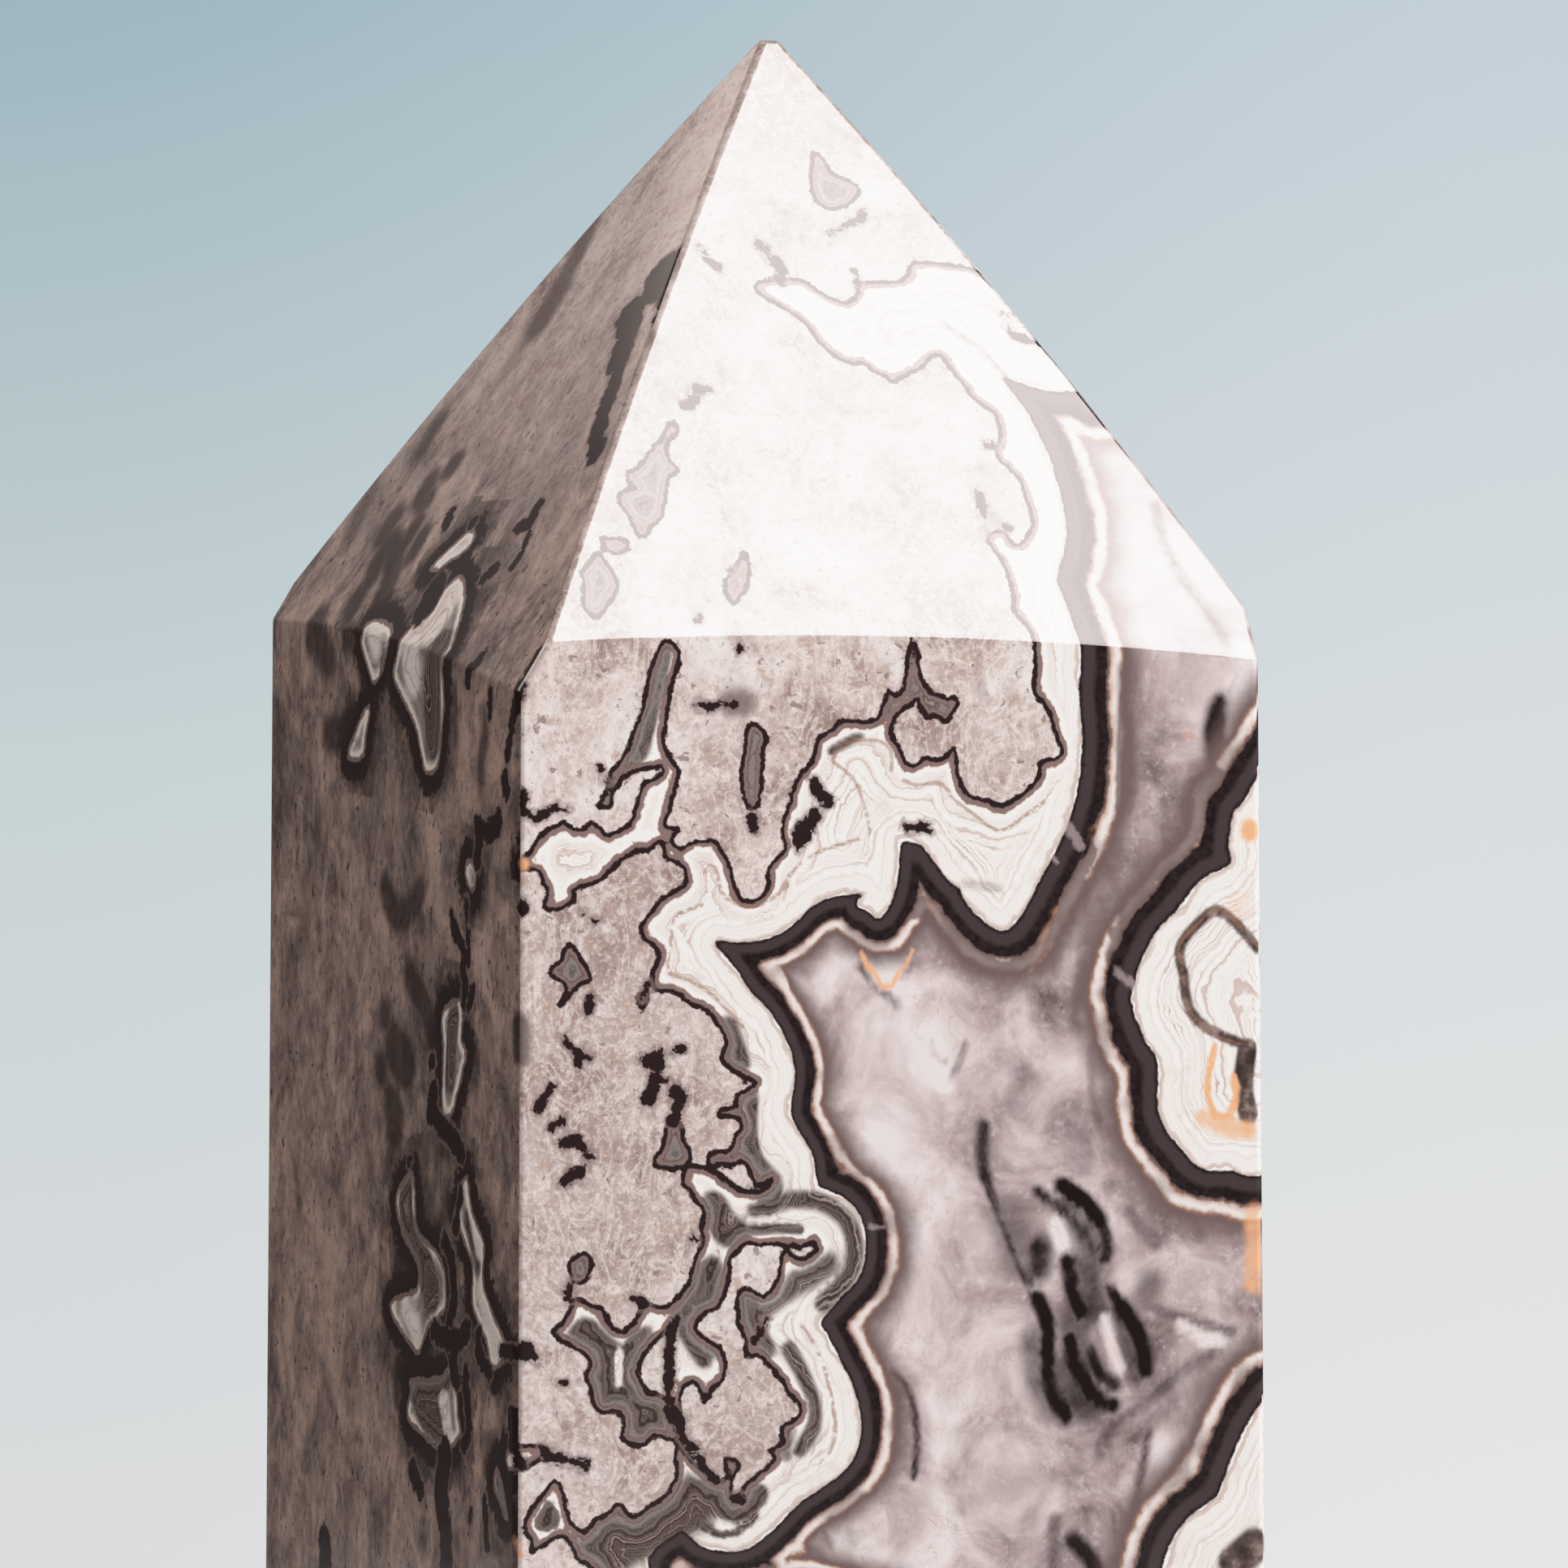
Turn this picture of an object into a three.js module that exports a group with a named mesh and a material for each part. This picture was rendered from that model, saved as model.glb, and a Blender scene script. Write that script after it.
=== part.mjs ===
// A polished jasper tower: one piece of stone, ground to four sides that lean in slightly, with four facets
// that meet at a point. It is cut flat underneath and stands on that face.
// Millimetres, +Z up. The origin is the centre of the base and the side with the boldest markings faces -Y.
import * as THREE from 'three';
import { ConvexGeometry } from 'three/addons/geometries/ConvexGeometry.js';

// Driving dimensions
const SHOULDER_WIDTH = 30; // across two opposite sides, where the tip begins
const SHOULDER_HEIGHT = 71; // from the base to where the tip begins
const TAPER = 0.0057; // how far each side leans in per millimetre of height
const EDGE_RADIUS = 0.35; // every edge is worn round by the polishing
const BASE_BEVEL = 0.8; // around the foot, at 45 degrees
const DOME_RADIUS = 365; // the tip's facets are ground very slightly convex
const CROWN_HEIGHT = 15; // a tip facet's dome stands proudest this far above the shoulder
const CROWN_REACH = SHOULDER_WIDTH / 4; // and this far out from the axis

// The tip is ground by hand, so its facets differ. Turn is the facet's error in azimuth and lean is how far
// its normal points up, both in degrees. Reach is the facet's distance from the centre of the shoulder.
const TIP_FACETS = [
  { azimuth: -90, turn: 0.55, lean: 33.5, reach: 13.0 }, // front
  { azimuth: 0, turn: 2.2, lean: 31.9, reach: 13.55 }, // right
  { azimuth: 90, turn: -0.6, lean: 34.85, reach: 14.15 }, // back
  { azimuth: 180, turn: 3.7, lean: 33.6, reach: 12.95 }, // left
];

// How finely the curved surfaces are divided
const ARC_STEPS = 5; // flats across each rounded edge
const DOME_STEP = 2.5; // between points on the domed facets and along their edges

const SETTLE_ROUNDS = 8; // more than enough for a point to reach where three surfaces meet
const TINY = 1e-7;

// A direction from its azimuth about +Z and its angle above the horizontal, in degrees.
function direction(azimuth, elevation) {
  return new THREE.Vector3(1, 0, 0)
    .applyAxisAngle(new THREE.Vector3(0, -1, 0), THREE.MathUtils.degToRad(elevation))
    .applyAxisAngle(new THREE.Vector3(0, 0, 1), THREE.MathUtils.degToRad(azimuth));
}

// A point out from the axis at a height, in the direction of an azimuth.
function outFromAxis(azimuth, reach, height) {
  return direction(azimuth, 0).multiplyScalar(reach).setZ(height);
}

// Each surface of the tower is flat or a very wide ball. Both are known by the plane that touches them
// nearest to a point.
function flatSurface(normal, through) {
  const plane = new THREE.Plane().setFromNormalAndCoplanarPoint(normal, through);
  return { touching: () => plane };
}

function domedSurface(normal, crown) {
  const centre = crown.clone().addScaledVector(normal, -DOME_RADIUS);
  const touching = (point) => {
    const outward = point.clone().sub(centre).normalize();
    const nearest = centre.clone().addScaledVector(outward, DOME_RADIUS);
    return new THREE.Plane().setFromNormalAndCoplanarPoint(outward, nearest);
  };
  return { touching, crown, normal };
}

function base() {
  return flatSurface(new THREE.Vector3(0, 0, -1), new THREE.Vector3());
}

function baseBevel(azimuth) {
  const foot = SHOULDER_WIDTH / 2 + TAPER * SHOULDER_HEIGHT;
  return flatSurface(direction(azimuth, -45), outFromAxis(azimuth, foot, BASE_BEVEL));
}

function side(azimuth) {
  const lean = THREE.MathUtils.radToDeg(Math.atan(TAPER));
  const shoulder = outFromAxis(azimuth, SHOULDER_WIDTH / 2, SHOULDER_HEIGHT);
  return flatSurface(direction(azimuth, lean), shoulder);
}

function tipFacet({ azimuth, turn, lean, reach }) {
  const normal = direction(azimuth + turn, lean);
  const crown = outFromAxis(azimuth + turn, CROWN_REACH, CROWN_HEIGHT);
  crown.addScaledVector(normal, reach - normal.dot(crown));
  crown.z += SHOULDER_HEIGHT;
  return domedSurface(normal, crown);
}

const azimuths = TIP_FACETS.map((facet) => facet.azimuth);
const tipFacets = TIP_FACETS.map(tipFacet);
const surfaces = [base(), ...azimuths.map(baseBevel), ...azimuths.map(side), ...tipFacets];

// Whether a point lies at least as deep as asked under every one of the surfaces.
function isUnder(point, depth, among) {
  return among.every((surface) => surface.touching(point).distanceToPoint(point) <= -depth + TINY);
}

// The point that lies under each of three surfaces by its inset, or null where they don't meet in one point.
function meetingPoint(three, insets, start) {
  let point = start;
  for (let round = 0; round < SETTLE_ROUNDS; round += 1) {
    const planes = three.map((surface) => surface.touching(point));
    const [a, b, c] = planes.map((plane) => plane.normal);
    const [da, db, dc] = planes.map((plane, n) => -plane.constant - insets[n]);
    const volume = a.dot(b.clone().cross(c));
    if (Math.abs(volume) < TINY) return null;
    point = b.clone().cross(c).multiplyScalar(da);
    point.addScaledVector(c.clone().cross(a), db);
    point.addScaledVector(a.clone().cross(b), dc);
    point.divideScalar(volume);
  }
  return point;
}

// The centres of the rounds at the tower's corners, each with the three surfaces that meet there.
function cornerCentres() {
  const middle = new THREE.Vector3(0, 0, SHOULDER_HEIGHT);
  const insets = [EDGE_RADIUS, EDGE_RADIUS, EDGE_RADIUS];
  const corners = [];
  surfaces.forEach((a, i) => surfaces.slice(i + 1).forEach((b, j) => {
    surfaces.slice(i + j + 2).forEach((c) => {
      const centre = meetingPoint([a, b, c], insets, middle);
      if (centre && isUnder(centre, EDGE_RADIUS, surfaces)) corners.push({ centre, meeting: [a, b, c] });
    });
  }));
  return corners;
}

// Points on the round about a centre, spread between the outward directions of the surfaces that meet.
function roundBetween(centre, meeting) {
  const outwards = meeting.map((surface) => surface.touching(centre).normal);
  const points = [];
  for (let i = 0; i <= ARC_STEPS; i += 1) {
    const most = outwards.length === 2 ? 0 : ARC_STEPS - i;
    for (let j = 0; j <= most; j += 1) {
      const shares = [i, ARC_STEPS - i - j, j];
      const outward = new THREE.Vector3();
      outwards.forEach((normal, n) => outward.addScaledVector(normal, shares[n]));
      points.push(centre.clone().addScaledVector(outward.normalize(), EDGE_RADIUS));
    }
  }
  return points;
}

// Points around the rounded edge between two corners, at steps along it where it follows a dome. A straight
// edge needs only the points at its ends, and those belong to the corners.
function edgePoints(from, to) {
  const shared = from.meeting.filter((surface) => to.meeting.includes(surface));
  if (shared.length !== 2 || !shared.some((surface) => tipFacets.includes(surface))) return [];
  const along = to.centre.clone().sub(from.centre);
  const steps = Math.ceil(along.length() / DOME_STEP);
  return Array.from({ length: steps - 1 }, (_, n) => {
    const start = from.centre.clone().addScaledVector(along, (n + 1) / steps);
    const cut = flatSurface(along.clone().normalize(), start);
    return roundBetween(meetingPoint([...shared, cut], [EDGE_RADIUS, EDGE_RADIUS, 0], start), shared);
  }).flat();
}

// A triangular grid of points over a domed facet, clear of the rounds at its edges.
function domePoints(facet) {
  const others = surfaces.filter((surface) => surface !== facet);
  const across = new THREE.Vector3(0, 0, 1).cross(facet.normal).normalize();
  const upward = facet.normal.clone().cross(across);
  const rows = Math.ceil(SHOULDER_WIDTH / DOME_STEP);
  const points = [];
  for (let row = -rows; row <= rows; row += 1) {
    for (let column = -rows; column <= rows; column += 1) {
      const point = facet.crown.clone();
      point.addScaledVector(across, (column + (row % 2) / 2) * DOME_STEP);
      point.addScaledVector(upward, row * DOME_STEP * Math.sqrt(0.75));
      facet.touching(point).projectPoint(point, point);
      if (isUnder(point, EDGE_RADIUS + DOME_STEP / 3, others)) points.push(point);
    }
  }
  return points;
}

// Every surface is flat or bulges outward, so the tower is the hull of the points that lie on it.
function towerGeometry() {
  const corners = cornerCentres();
  const edges = corners.flatMap((from, n) => corners.slice(n + 1).map((to) => [from, to]));
  return new ConvexGeometry([
    ...corners.flatMap(({ centre, meeting }) => roundBetween(centre, meeting)),
    ...edges.flatMap(([from, to]) => edgePoints(from, to)),
    ...tipFacets.flatMap(domePoints),
  ]);
}

const jasper = new THREE.MeshStandardMaterial({ color: 0xc9bfb9, roughness: 0.22, metalness: 0 });
const tower = new THREE.Mesh(towerGeometry(), jasper);
tower.name = 'tower';

const model = new THREE.Group();
model.add(tower);

export default model;
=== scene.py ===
# The looks of a polished jasper tower: its markings, its polish, and the plain studio that it stands in.
# The markings are drawn as outlines, laid on the stone's faces, and kept on a fine mesh as distances in
# millimetres. The material turns those distances into layers of stone.
import math

import bpy
import numpy as np
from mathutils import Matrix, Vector

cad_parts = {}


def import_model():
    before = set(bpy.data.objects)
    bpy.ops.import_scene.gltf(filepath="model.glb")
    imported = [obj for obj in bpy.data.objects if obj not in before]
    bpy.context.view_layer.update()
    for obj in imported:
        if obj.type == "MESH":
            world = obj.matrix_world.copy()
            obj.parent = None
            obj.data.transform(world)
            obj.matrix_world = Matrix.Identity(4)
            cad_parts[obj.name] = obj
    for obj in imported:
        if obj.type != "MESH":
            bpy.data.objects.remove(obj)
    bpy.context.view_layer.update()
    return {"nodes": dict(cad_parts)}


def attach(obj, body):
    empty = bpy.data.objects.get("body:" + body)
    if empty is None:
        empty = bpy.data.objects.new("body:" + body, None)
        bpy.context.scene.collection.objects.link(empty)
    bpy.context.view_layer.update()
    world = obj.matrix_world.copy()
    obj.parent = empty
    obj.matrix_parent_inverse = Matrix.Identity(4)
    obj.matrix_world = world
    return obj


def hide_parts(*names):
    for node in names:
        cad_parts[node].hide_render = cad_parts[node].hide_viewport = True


MM = 0.001

# The camera that took the photograph, in millimetres, degrees and the photograph's pixels
PHOTO_PIXELS = 1932
CAMERA_TURN = -20.42  # about the vertical, from looking straight at the front
CAMERA_DISTANCE = 450.0
CAMERA_ASIDE = 1.1
CAMERA_HEIGHT = 65.6
FOCAL_PIXELS = 14239.7

# The net is the stone's surface folded out flat. The front is in its middle, the others follow around it, and
# each tip facet hangs on the top of its side.
SIDE_WIDTH = 30.0
SIDE_TURNS = {"front": -90, "right": 0, "back": 90, "left": 180}
SIDE_ORDER = {"front": 0, "right": 1, "back": 2, "left": -1}

# Where the vein's outer edge runs, in the photograph's pixels, with the matrix always on the same hand
VEIN_ON_TIP = [
    (1290, 356), (1215, 338), (1195, 330), (1155, 325), (1124, 325), (1120, 336), (1112, 345), (1100, 349),
    (1056, 350), (1057, 362), (1048, 372), (1036, 374), (1010, 361), (988, 347), (955, 344), (930, 351),
    (934, 362), (960, 377), (985, 394), (998, 406), (1006, 420), (1020, 434), (1035, 444), (1050, 450),
    (1062, 448), (1075, 458), (1090, 466), (1100, 474), (1108, 467), (1132, 456), (1142, 445), (1152, 438),
    (1163, 444), (1172, 458), (1190, 479), (1197, 491), (1224, 510), (1231, 525), (1231, 545), (1226, 562),
    (1240, 576), (1254, 590), (1262, 610), (1272, 643), (1266, 660), (1256, 673), (1246, 671), (1238, 656),
    (1222, 657), (1216, 668), (1232, 688), (1240, 705), (1250, 738), (1248, 751), (1262, 766), (1272, 780),
]
VEIN_UPPER = [
    (1275, 805), (1276, 825), (1274, 850), (1283, 862), (1293, 878), (1303, 910), (1308, 922), (1304, 934),
    (1290, 936), (1281, 942), (1281, 955), (1270, 970), (1255, 982), (1240, 991), (1230, 993), (1216, 987),
    (1200, 983), (1190, 978), (1183, 965), (1179, 950), (1178, 930), (1175, 922), (1166, 932), (1155, 937),
    (1140, 935), (1128, 943), (1118, 942), (1111, 932), (1107, 918), (1099, 910), (1098, 897), (1102, 885),
    (1113, 873), (1125, 866), (1129, 860), (1134, 870), (1142, 883), (1152, 881), (1163, 889), (1171, 884),
    (1176, 872), (1181, 862), (1165, 860), (1150, 855), (1140, 845), (1134, 830), (1131, 810), (1124, 787),
    (1118, 815), (1117, 833), (1112, 850), (1104, 858), (1095, 852), (1090, 864), (1085, 877), (1079, 886),
    (1062, 890), (1045, 888), (1033, 890), (1027, 899), (1011, 908), (1006, 918), (1004, 930), (999, 942),
    (985, 956), (980, 968), (973, 992), (968, 1003), (963, 1025), (967, 1037), (967, 1047), (953, 1062),
    (945, 1078), (948, 1090), (942, 1100), (935, 1108), (924, 1112), (913, 1108), (906, 1098), (903, 1085),
    (899, 1068), (893, 1055), (885, 1043), (877, 1035), (862, 1037), (850, 1039), (840, 1046), (831, 1043),
    (828, 1033), (836, 1022), (821, 1020), (818, 1014), (824, 1000), (827, 985), (836, 955), (831, 942),
    (822, 928), (817, 912), (820, 895), (822, 875), (829, 835), (835, 820), (836, 803), (822, 789),
    (813, 797), (806, 815), (800, 832), (793, 870), (782, 898), (777, 915), (763, 940), (753, 952),
    (748, 965), (746, 980), (737, 992), (746, 995), (753, 992), (754, 980), (760, 968), (770, 956),
    (785, 949), (803, 946), (815, 944), (815, 953), (806, 960), (795, 964), (789, 975), (785, 990),
    (777, 1015), (765, 1022), (750, 1029), (742, 1023), (729, 1014), (720, 1021), (706, 1021), (697, 1014),
    (685, 1018), (672, 1025), (663, 1034), (655, 1046), (644, 1060), (636, 1066),
]
VEIN_LOWER = [
    (650, 1070), (664, 1074), (670, 1087), (675, 1100), (670, 1117), (680, 1120), (694, 1119), (706, 1110),
    (706, 1098), (716, 1092), (735, 1087), (745, 1080), (765, 1060), (777, 1052), (788, 1047), (798, 1048),
    (814, 1037), (819, 1046), (820, 1057), (832, 1062), (842, 1069), (846, 1080), (843, 1092), (822, 1103),
    (813, 1110), (806, 1121), (797, 1131), (790, 1145), (795, 1158), (805, 1164), (812, 1174), (811, 1185),
    (804, 1195), (807, 1220), (822, 1220), (838, 1226), (850, 1237), (865, 1242), (877, 1250), (893, 1277),
    (894, 1289), (889, 1302), (897, 1314), (908, 1322), (931, 1333), (922, 1342), (908, 1350), (906, 1364),
    (890, 1366), (887, 1376), (900, 1376), (912, 1380), (914, 1391), (906, 1399), (904, 1412), (893, 1420),
    (879, 1419), (872, 1428), (876, 1438), (888, 1434), (900, 1436), (912, 1430), (921, 1436), (925, 1447),
    (931, 1458), (942, 1458), (951, 1452), (946, 1464), (930, 1470), (912, 1466), (896, 1455), (880, 1444),
    (862, 1438), (850, 1436), (843, 1446), (840, 1458), (850, 1466), (859, 1481), (868, 1493), (864, 1515),
    (866, 1530), (860, 1543), (853, 1560), (850, 1578), (840, 1594), (828, 1606), (813, 1612), (798, 1606),
    (790, 1614), (783, 1628), (770, 1640), (760, 1640), (750, 1630), (742, 1614), (728, 1609), (710, 1601),
    (704, 1612), (694, 1628), (682, 1642), (698, 1656), (720, 1667), (728, 1680), (722, 1692), (727, 1712),
    (734, 1735), (747, 1741), (764, 1739), (769, 1755), (766, 1772), (780, 1781), (797, 1778), (806, 1769),
    (820, 1773), (834, 1777), (832, 1795), (835, 1813), (828, 1832), (818, 1846), (798, 1858), (782, 1869),
    (771, 1864), (763, 1852), (752, 1862), (735, 1873), (720, 1888), (706, 1879), (697, 1858), (692, 1836),
    (684, 1824), (673, 1836), (660, 1853), (648, 1872), (647, 1887), (656, 1898), (656, 1911), (672, 1902),
    (690, 1893), (703, 1900), (711, 1919), (728, 1931),
]

# Pieces of matrix that float in the vein
ISLANDS = [
    [
        (900, 1550), (910, 1540), (920, 1531), (935, 1534), (968, 1534), (962, 1550), (960, 1570), (952, 1588),
        (940, 1597), (928, 1590), (915, 1588), (909, 1598), (911, 1632), (919, 1650), (920, 1672), (935, 1670),
        (950, 1685), (965, 1703), (970, 1715), (985, 1730), (985, 1745), (965, 1757), (963, 1768), (966, 1778),
        (948, 1787), (955, 1797), (942, 1812), (920, 1828), (914, 1843), (905, 1848), (901, 1838), (903, 1820),
        (910, 1803), (893, 1798), (897, 1815), (890, 1826), (875, 1820), (858, 1805), (845, 1793), (837, 1775),
        (828, 1752), (838, 1745), (838, 1725), (842, 1710), (852, 1703), (861, 1710), (868, 1728), (877, 1712),
        (890, 1700), (894, 1680), (888, 1663), (872, 1652), (858, 1640), (858, 1628), (870, 1617), (885, 1610),
        (893, 1592), (898, 1570),
    ],
    [
        (826, 1632), (815, 1645), (802, 1658), (792, 1672), (786, 1690), (791, 1706), (797, 1716), (812, 1718),
        (820, 1722), (824, 1705), (822, 1685), (820, 1665), (822, 1648),
    ],
    [(972, 1540), (978, 1533), (985, 1537), (1003, 1530), (1006, 1540), (995, 1548), (985, 1553), (977, 1548)],
]

# Where the vein's cream layers end and its dark band begins. Lobes bulge towards the quartz.
FRONT_ON_TIP = [
    (1400, 500), (1330, 482), (1300, 483), (1270, 476), (1240, 466), (1234, 467), (1250, 490), (1265, 510),
    (1278, 535), (1290, 560), (1300, 590), (1308, 620), (1313, 650), (1311, 680), (1301, 712), (1312, 740),
    (1323, 770),
]
FRONT_UPPER = [
    (1331, 800), (1331, 820), (1329, 850), (1331, 880), (1333, 905), (1332, 935), (1329, 960), (1325, 985),
    (1318, 1005), (1312, 1025), (1303, 1043), (1283, 1080), (1262, 1121), (1250, 1138), (1238, 1147),
    (1226, 1144), (1212, 1135), (1198, 1121), (1187, 1107), (1182, 1094), (1170, 1086), (1149, 1059),
    (1138, 1043), (1126, 1038), (1110, 1038), (1107, 1072), (1103, 1095), (1097, 1114), (1086, 1130),
    (1078, 1130), (1070, 1123), (1057, 1118), (1058, 1108), (1064, 1101), (1048, 1102), (1030, 1104),
    (1012, 1110), (998, 1119), (985, 1132), (968, 1146), (950, 1155), (930, 1160), (905, 1161), (883, 1159),
]
FRONT_LOWER = [
    (884, 1168), (895, 1180), (911, 1200), (925, 1222), (940, 1236), (952, 1252), (963, 1270), (972, 1290),
    (978, 1310), (979, 1330), (976, 1350), (974, 1364), (977, 1382), (991, 1404), (999, 1418), (1004, 1436),
    (1007, 1460), (1020, 1467), (1036, 1473), (1050, 1485), (1061, 1502), (1066, 1522), (1066, 1545),
    (1062, 1565), (1053, 1582), (1042, 1593), (1030, 1606), (1018, 1620), (1011, 1631), (1020, 1645),
    (1030, 1665), (1040, 1685), (1050, 1705), (1057, 1727), (1060, 1750), (1060, 1772), (1054, 1792),
    (1043, 1810), (1027, 1823), (1008, 1836), (990, 1848), (974, 1863), (958, 1880), (942, 1894),
    (925, 1906), (905, 1912), (882, 1910), (862, 1904), (841, 1886), (828, 1894), (812, 1904), (803, 1914),
    (799, 1932),
]

# Rings of the same layers, around cores of their own, that the front and the right side share
RING_UPPER = [
    (1590, 895), (1566, 932), (1547, 962), (1532, 988), (1521, 1000), (1516, 1025), (1514, 1045), (1518, 1062), (1505, 1072), (1490, 1078),
    (1475, 1090), (1462, 1106), (1448, 1124), (1434, 1138), (1422, 1152), (1412, 1172), (1403, 1192), (1399, 1212),
    (1394, 1226), (1396, 1242), (1403, 1262), (1410, 1280), (1422, 1297), (1427, 1312), (1427, 1340), (1427, 1365),
    (1435, 1388), (1445, 1403), (1458, 1418), (1470, 1432), (1484, 1441), (1502, 1442), (1520, 1442), (1535, 1448),
    (1560, 1447), (1620, 1432), (1680, 1390), (1715, 1310), (1700, 1215), (1640, 1165), (1655, 1080), (1640, 990), (1618, 920),
]
RING_LOWER = [
    (1575, 1715), (1556, 1728), (1543, 1745), (1530, 1768), (1519, 1795), (1509, 1820), (1500, 1842), (1485, 1855),
    (1467, 1868), (1452, 1886), (1441, 1906), (1433, 1932), (1432, 1985), (1460, 2040), (1450, 2110), (1480, 2180),
    (1550, 2225), (1640, 2215), (1700, 2150), (1690, 2070), (1740, 1990), (1730, 1880), (1670, 1800), (1640, 1735),
]

# How the vein and its dark band go on below the photograph's edge, in its pixels, as far as under the foot
VEIN_BELOW = [
    (760, 1960), (790, 2000), (850, 2040), (880, 2100), (850, 2170), (800, 2230), (830, 2300), (900, 2350),
    (930, 2420), (890, 2500), (820, 2560), (850, 2640), (880, 2720), (830, 2800), (790, 2880), (830, 2960),
    (850, 3040), (820, 3120), (860, 3260), (1009, 3450), (1222, 3600), (1582, 3710),
]
FRONT_BELOW = [
    (850, 1988), (1000, 1962), (1160, 2045), (1130, 2180), (1080, 2210), (1180, 2330), (1080, 2470), (1130, 2590),
    (1040, 2700), (1080, 2810), (990, 2920), (1030, 3060), (1000, 3120), (1060, 3240), (1230, 3380), (1400, 3480),
    (1582, 3539),
]

# Small hollows in the matrix, lined and filled like the vein
HOLLOWS = [
    [
        (700, 1163), (708, 1170), (715, 1180), (728, 1205), (718, 1210), (708, 1220), (690, 1238), (697, 1225),
        (695, 1212), (677, 1200), (682, 1190), (692, 1183),
    ],
    [(922, 895), (935, 895), (945, 912), (940, 920), (938, 970), (932, 995), (918, 990), (914, 950), (918, 925)],
    [(786, 1228), (800, 1225), (795, 1238), (790, 1245)],
    [
        (845, 1436), (815, 1440), (805, 1430), (815, 1418), (820, 1395), (828, 1380), (838, 1385), (842, 1405),
        (850, 1420),
    ],
    [(703, 1555), (712, 1548), (722, 1545), (728, 1555), (726, 1570), (718, 1580), (708, 1580), (702, 1568)],
    [(672, 1847), (682, 1852), (690, 1865), (690, 1880), (680, 1888), (668, 1890), (657, 1883), (658, 1870)],
    [
        (1006, 184), (1016, 196), (1022, 210), (1042, 220), (1059, 229), (1056, 241), (1042, 253), (1022, 257),
        (1006, 246), (1000, 225), (1001, 203),
    ],
    [
        (826, 519), (836, 527), (832, 537), (822, 545), (821, 560), (828, 571), (836, 580), (825, 586), (821, 605),
        (816, 637), (804, 646), (798, 657), (791, 661), (783, 653), (779, 640), (761, 613), (775, 603), (786, 599),
        (769, 586), (785, 577), (796, 563), (806, 549), (816, 541),
    ],
    [
        (738, 677), (746, 690), (755, 700), (762, 716), (757, 732), (740, 757), (728, 751), (720, 741), (722, 722),
        (719, 700), (728, 692),
    ],
    [(741, 663), (752, 662), (764, 662), (776, 668), (771, 677), (758, 680), (748, 674)],
    [(918, 680), (923, 700), (921, 718), (912, 735), (903, 743), (895, 730), (894, 715), (905, 703)],
]
HOLLOWS_ON_LEFT = [
    [
        (571, 706), (577, 722), (574, 745), (561, 785), (553, 803), (546, 820), (549, 865), (545, 910), (543, 935),
        (538, 952), (529, 958), (521, 950), (513, 908), (505, 885), (488, 850), (482, 830), (487, 808), (505, 772),
        (518, 760), (530, 755), (550, 722),
    ],
    [
        (452, 765), (468, 760), (483, 765), (486, 780), (475, 820), (468, 838), (460, 848), (455, 835), (443, 795),
        (445, 778),
    ],
    [(585, 650), (590, 660), (578, 680), (550, 700), (538, 708), (528, 703), (552, 678), (575, 657)],
    [(450, 868), (458, 872), (452, 910), (450, 930), (442, 942), (430, 940), (426, 928), (436, 900)],
    [(575, 1056), (585, 1060), (588, 1080), (586, 1098), (580, 1103), (573, 1085), (572, 1068)],
    [
        (562, 1226), (570, 1235), (572, 1260), (570, 1280), (577, 1295), (572, 1320), (560, 1370), (552, 1380),
        (545, 1378), (543, 1350), (545, 1290), (542, 1262), (546, 1240),
    ],
    [
        (505, 1438), (512, 1455), (514, 1505), (525, 1525), (540, 1540), (548, 1560), (551, 1590), (550, 1615),
        (540, 1628), (528, 1640), (517, 1672), (507, 1665), (485, 1630), (478, 1610), (485, 1595), (512, 1585),
        (513, 1560), (495, 1525), (486, 1480), (492, 1458),
    ],
    [
        (575, 1440), (583, 1490), (598, 1530), (597, 1560), (598, 1585), (612, 1625), (628, 1662), (622, 1680),
        (610, 1692), (602, 1680), (598, 1655), (582, 1618), (580, 1590), (581, 1560), (567, 1523), (563, 1480),
    ],
    [
        (555, 1675), (562, 1690), (566, 1745), (570, 1765), (560, 1785), (540, 1790), (528, 1780), (503, 1755),
        (500, 1735), (505, 1710), (500, 1695), (530, 1695), (545, 1690),
    ],
    [(625, 1783), (648, 1785), (645, 1800), (636, 1812), (627, 1815), (622, 1800)],
    [(612, 1800), (622, 1835), (628, 1875), (620, 1872), (613, 1850), (606, 1830)],
]

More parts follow.
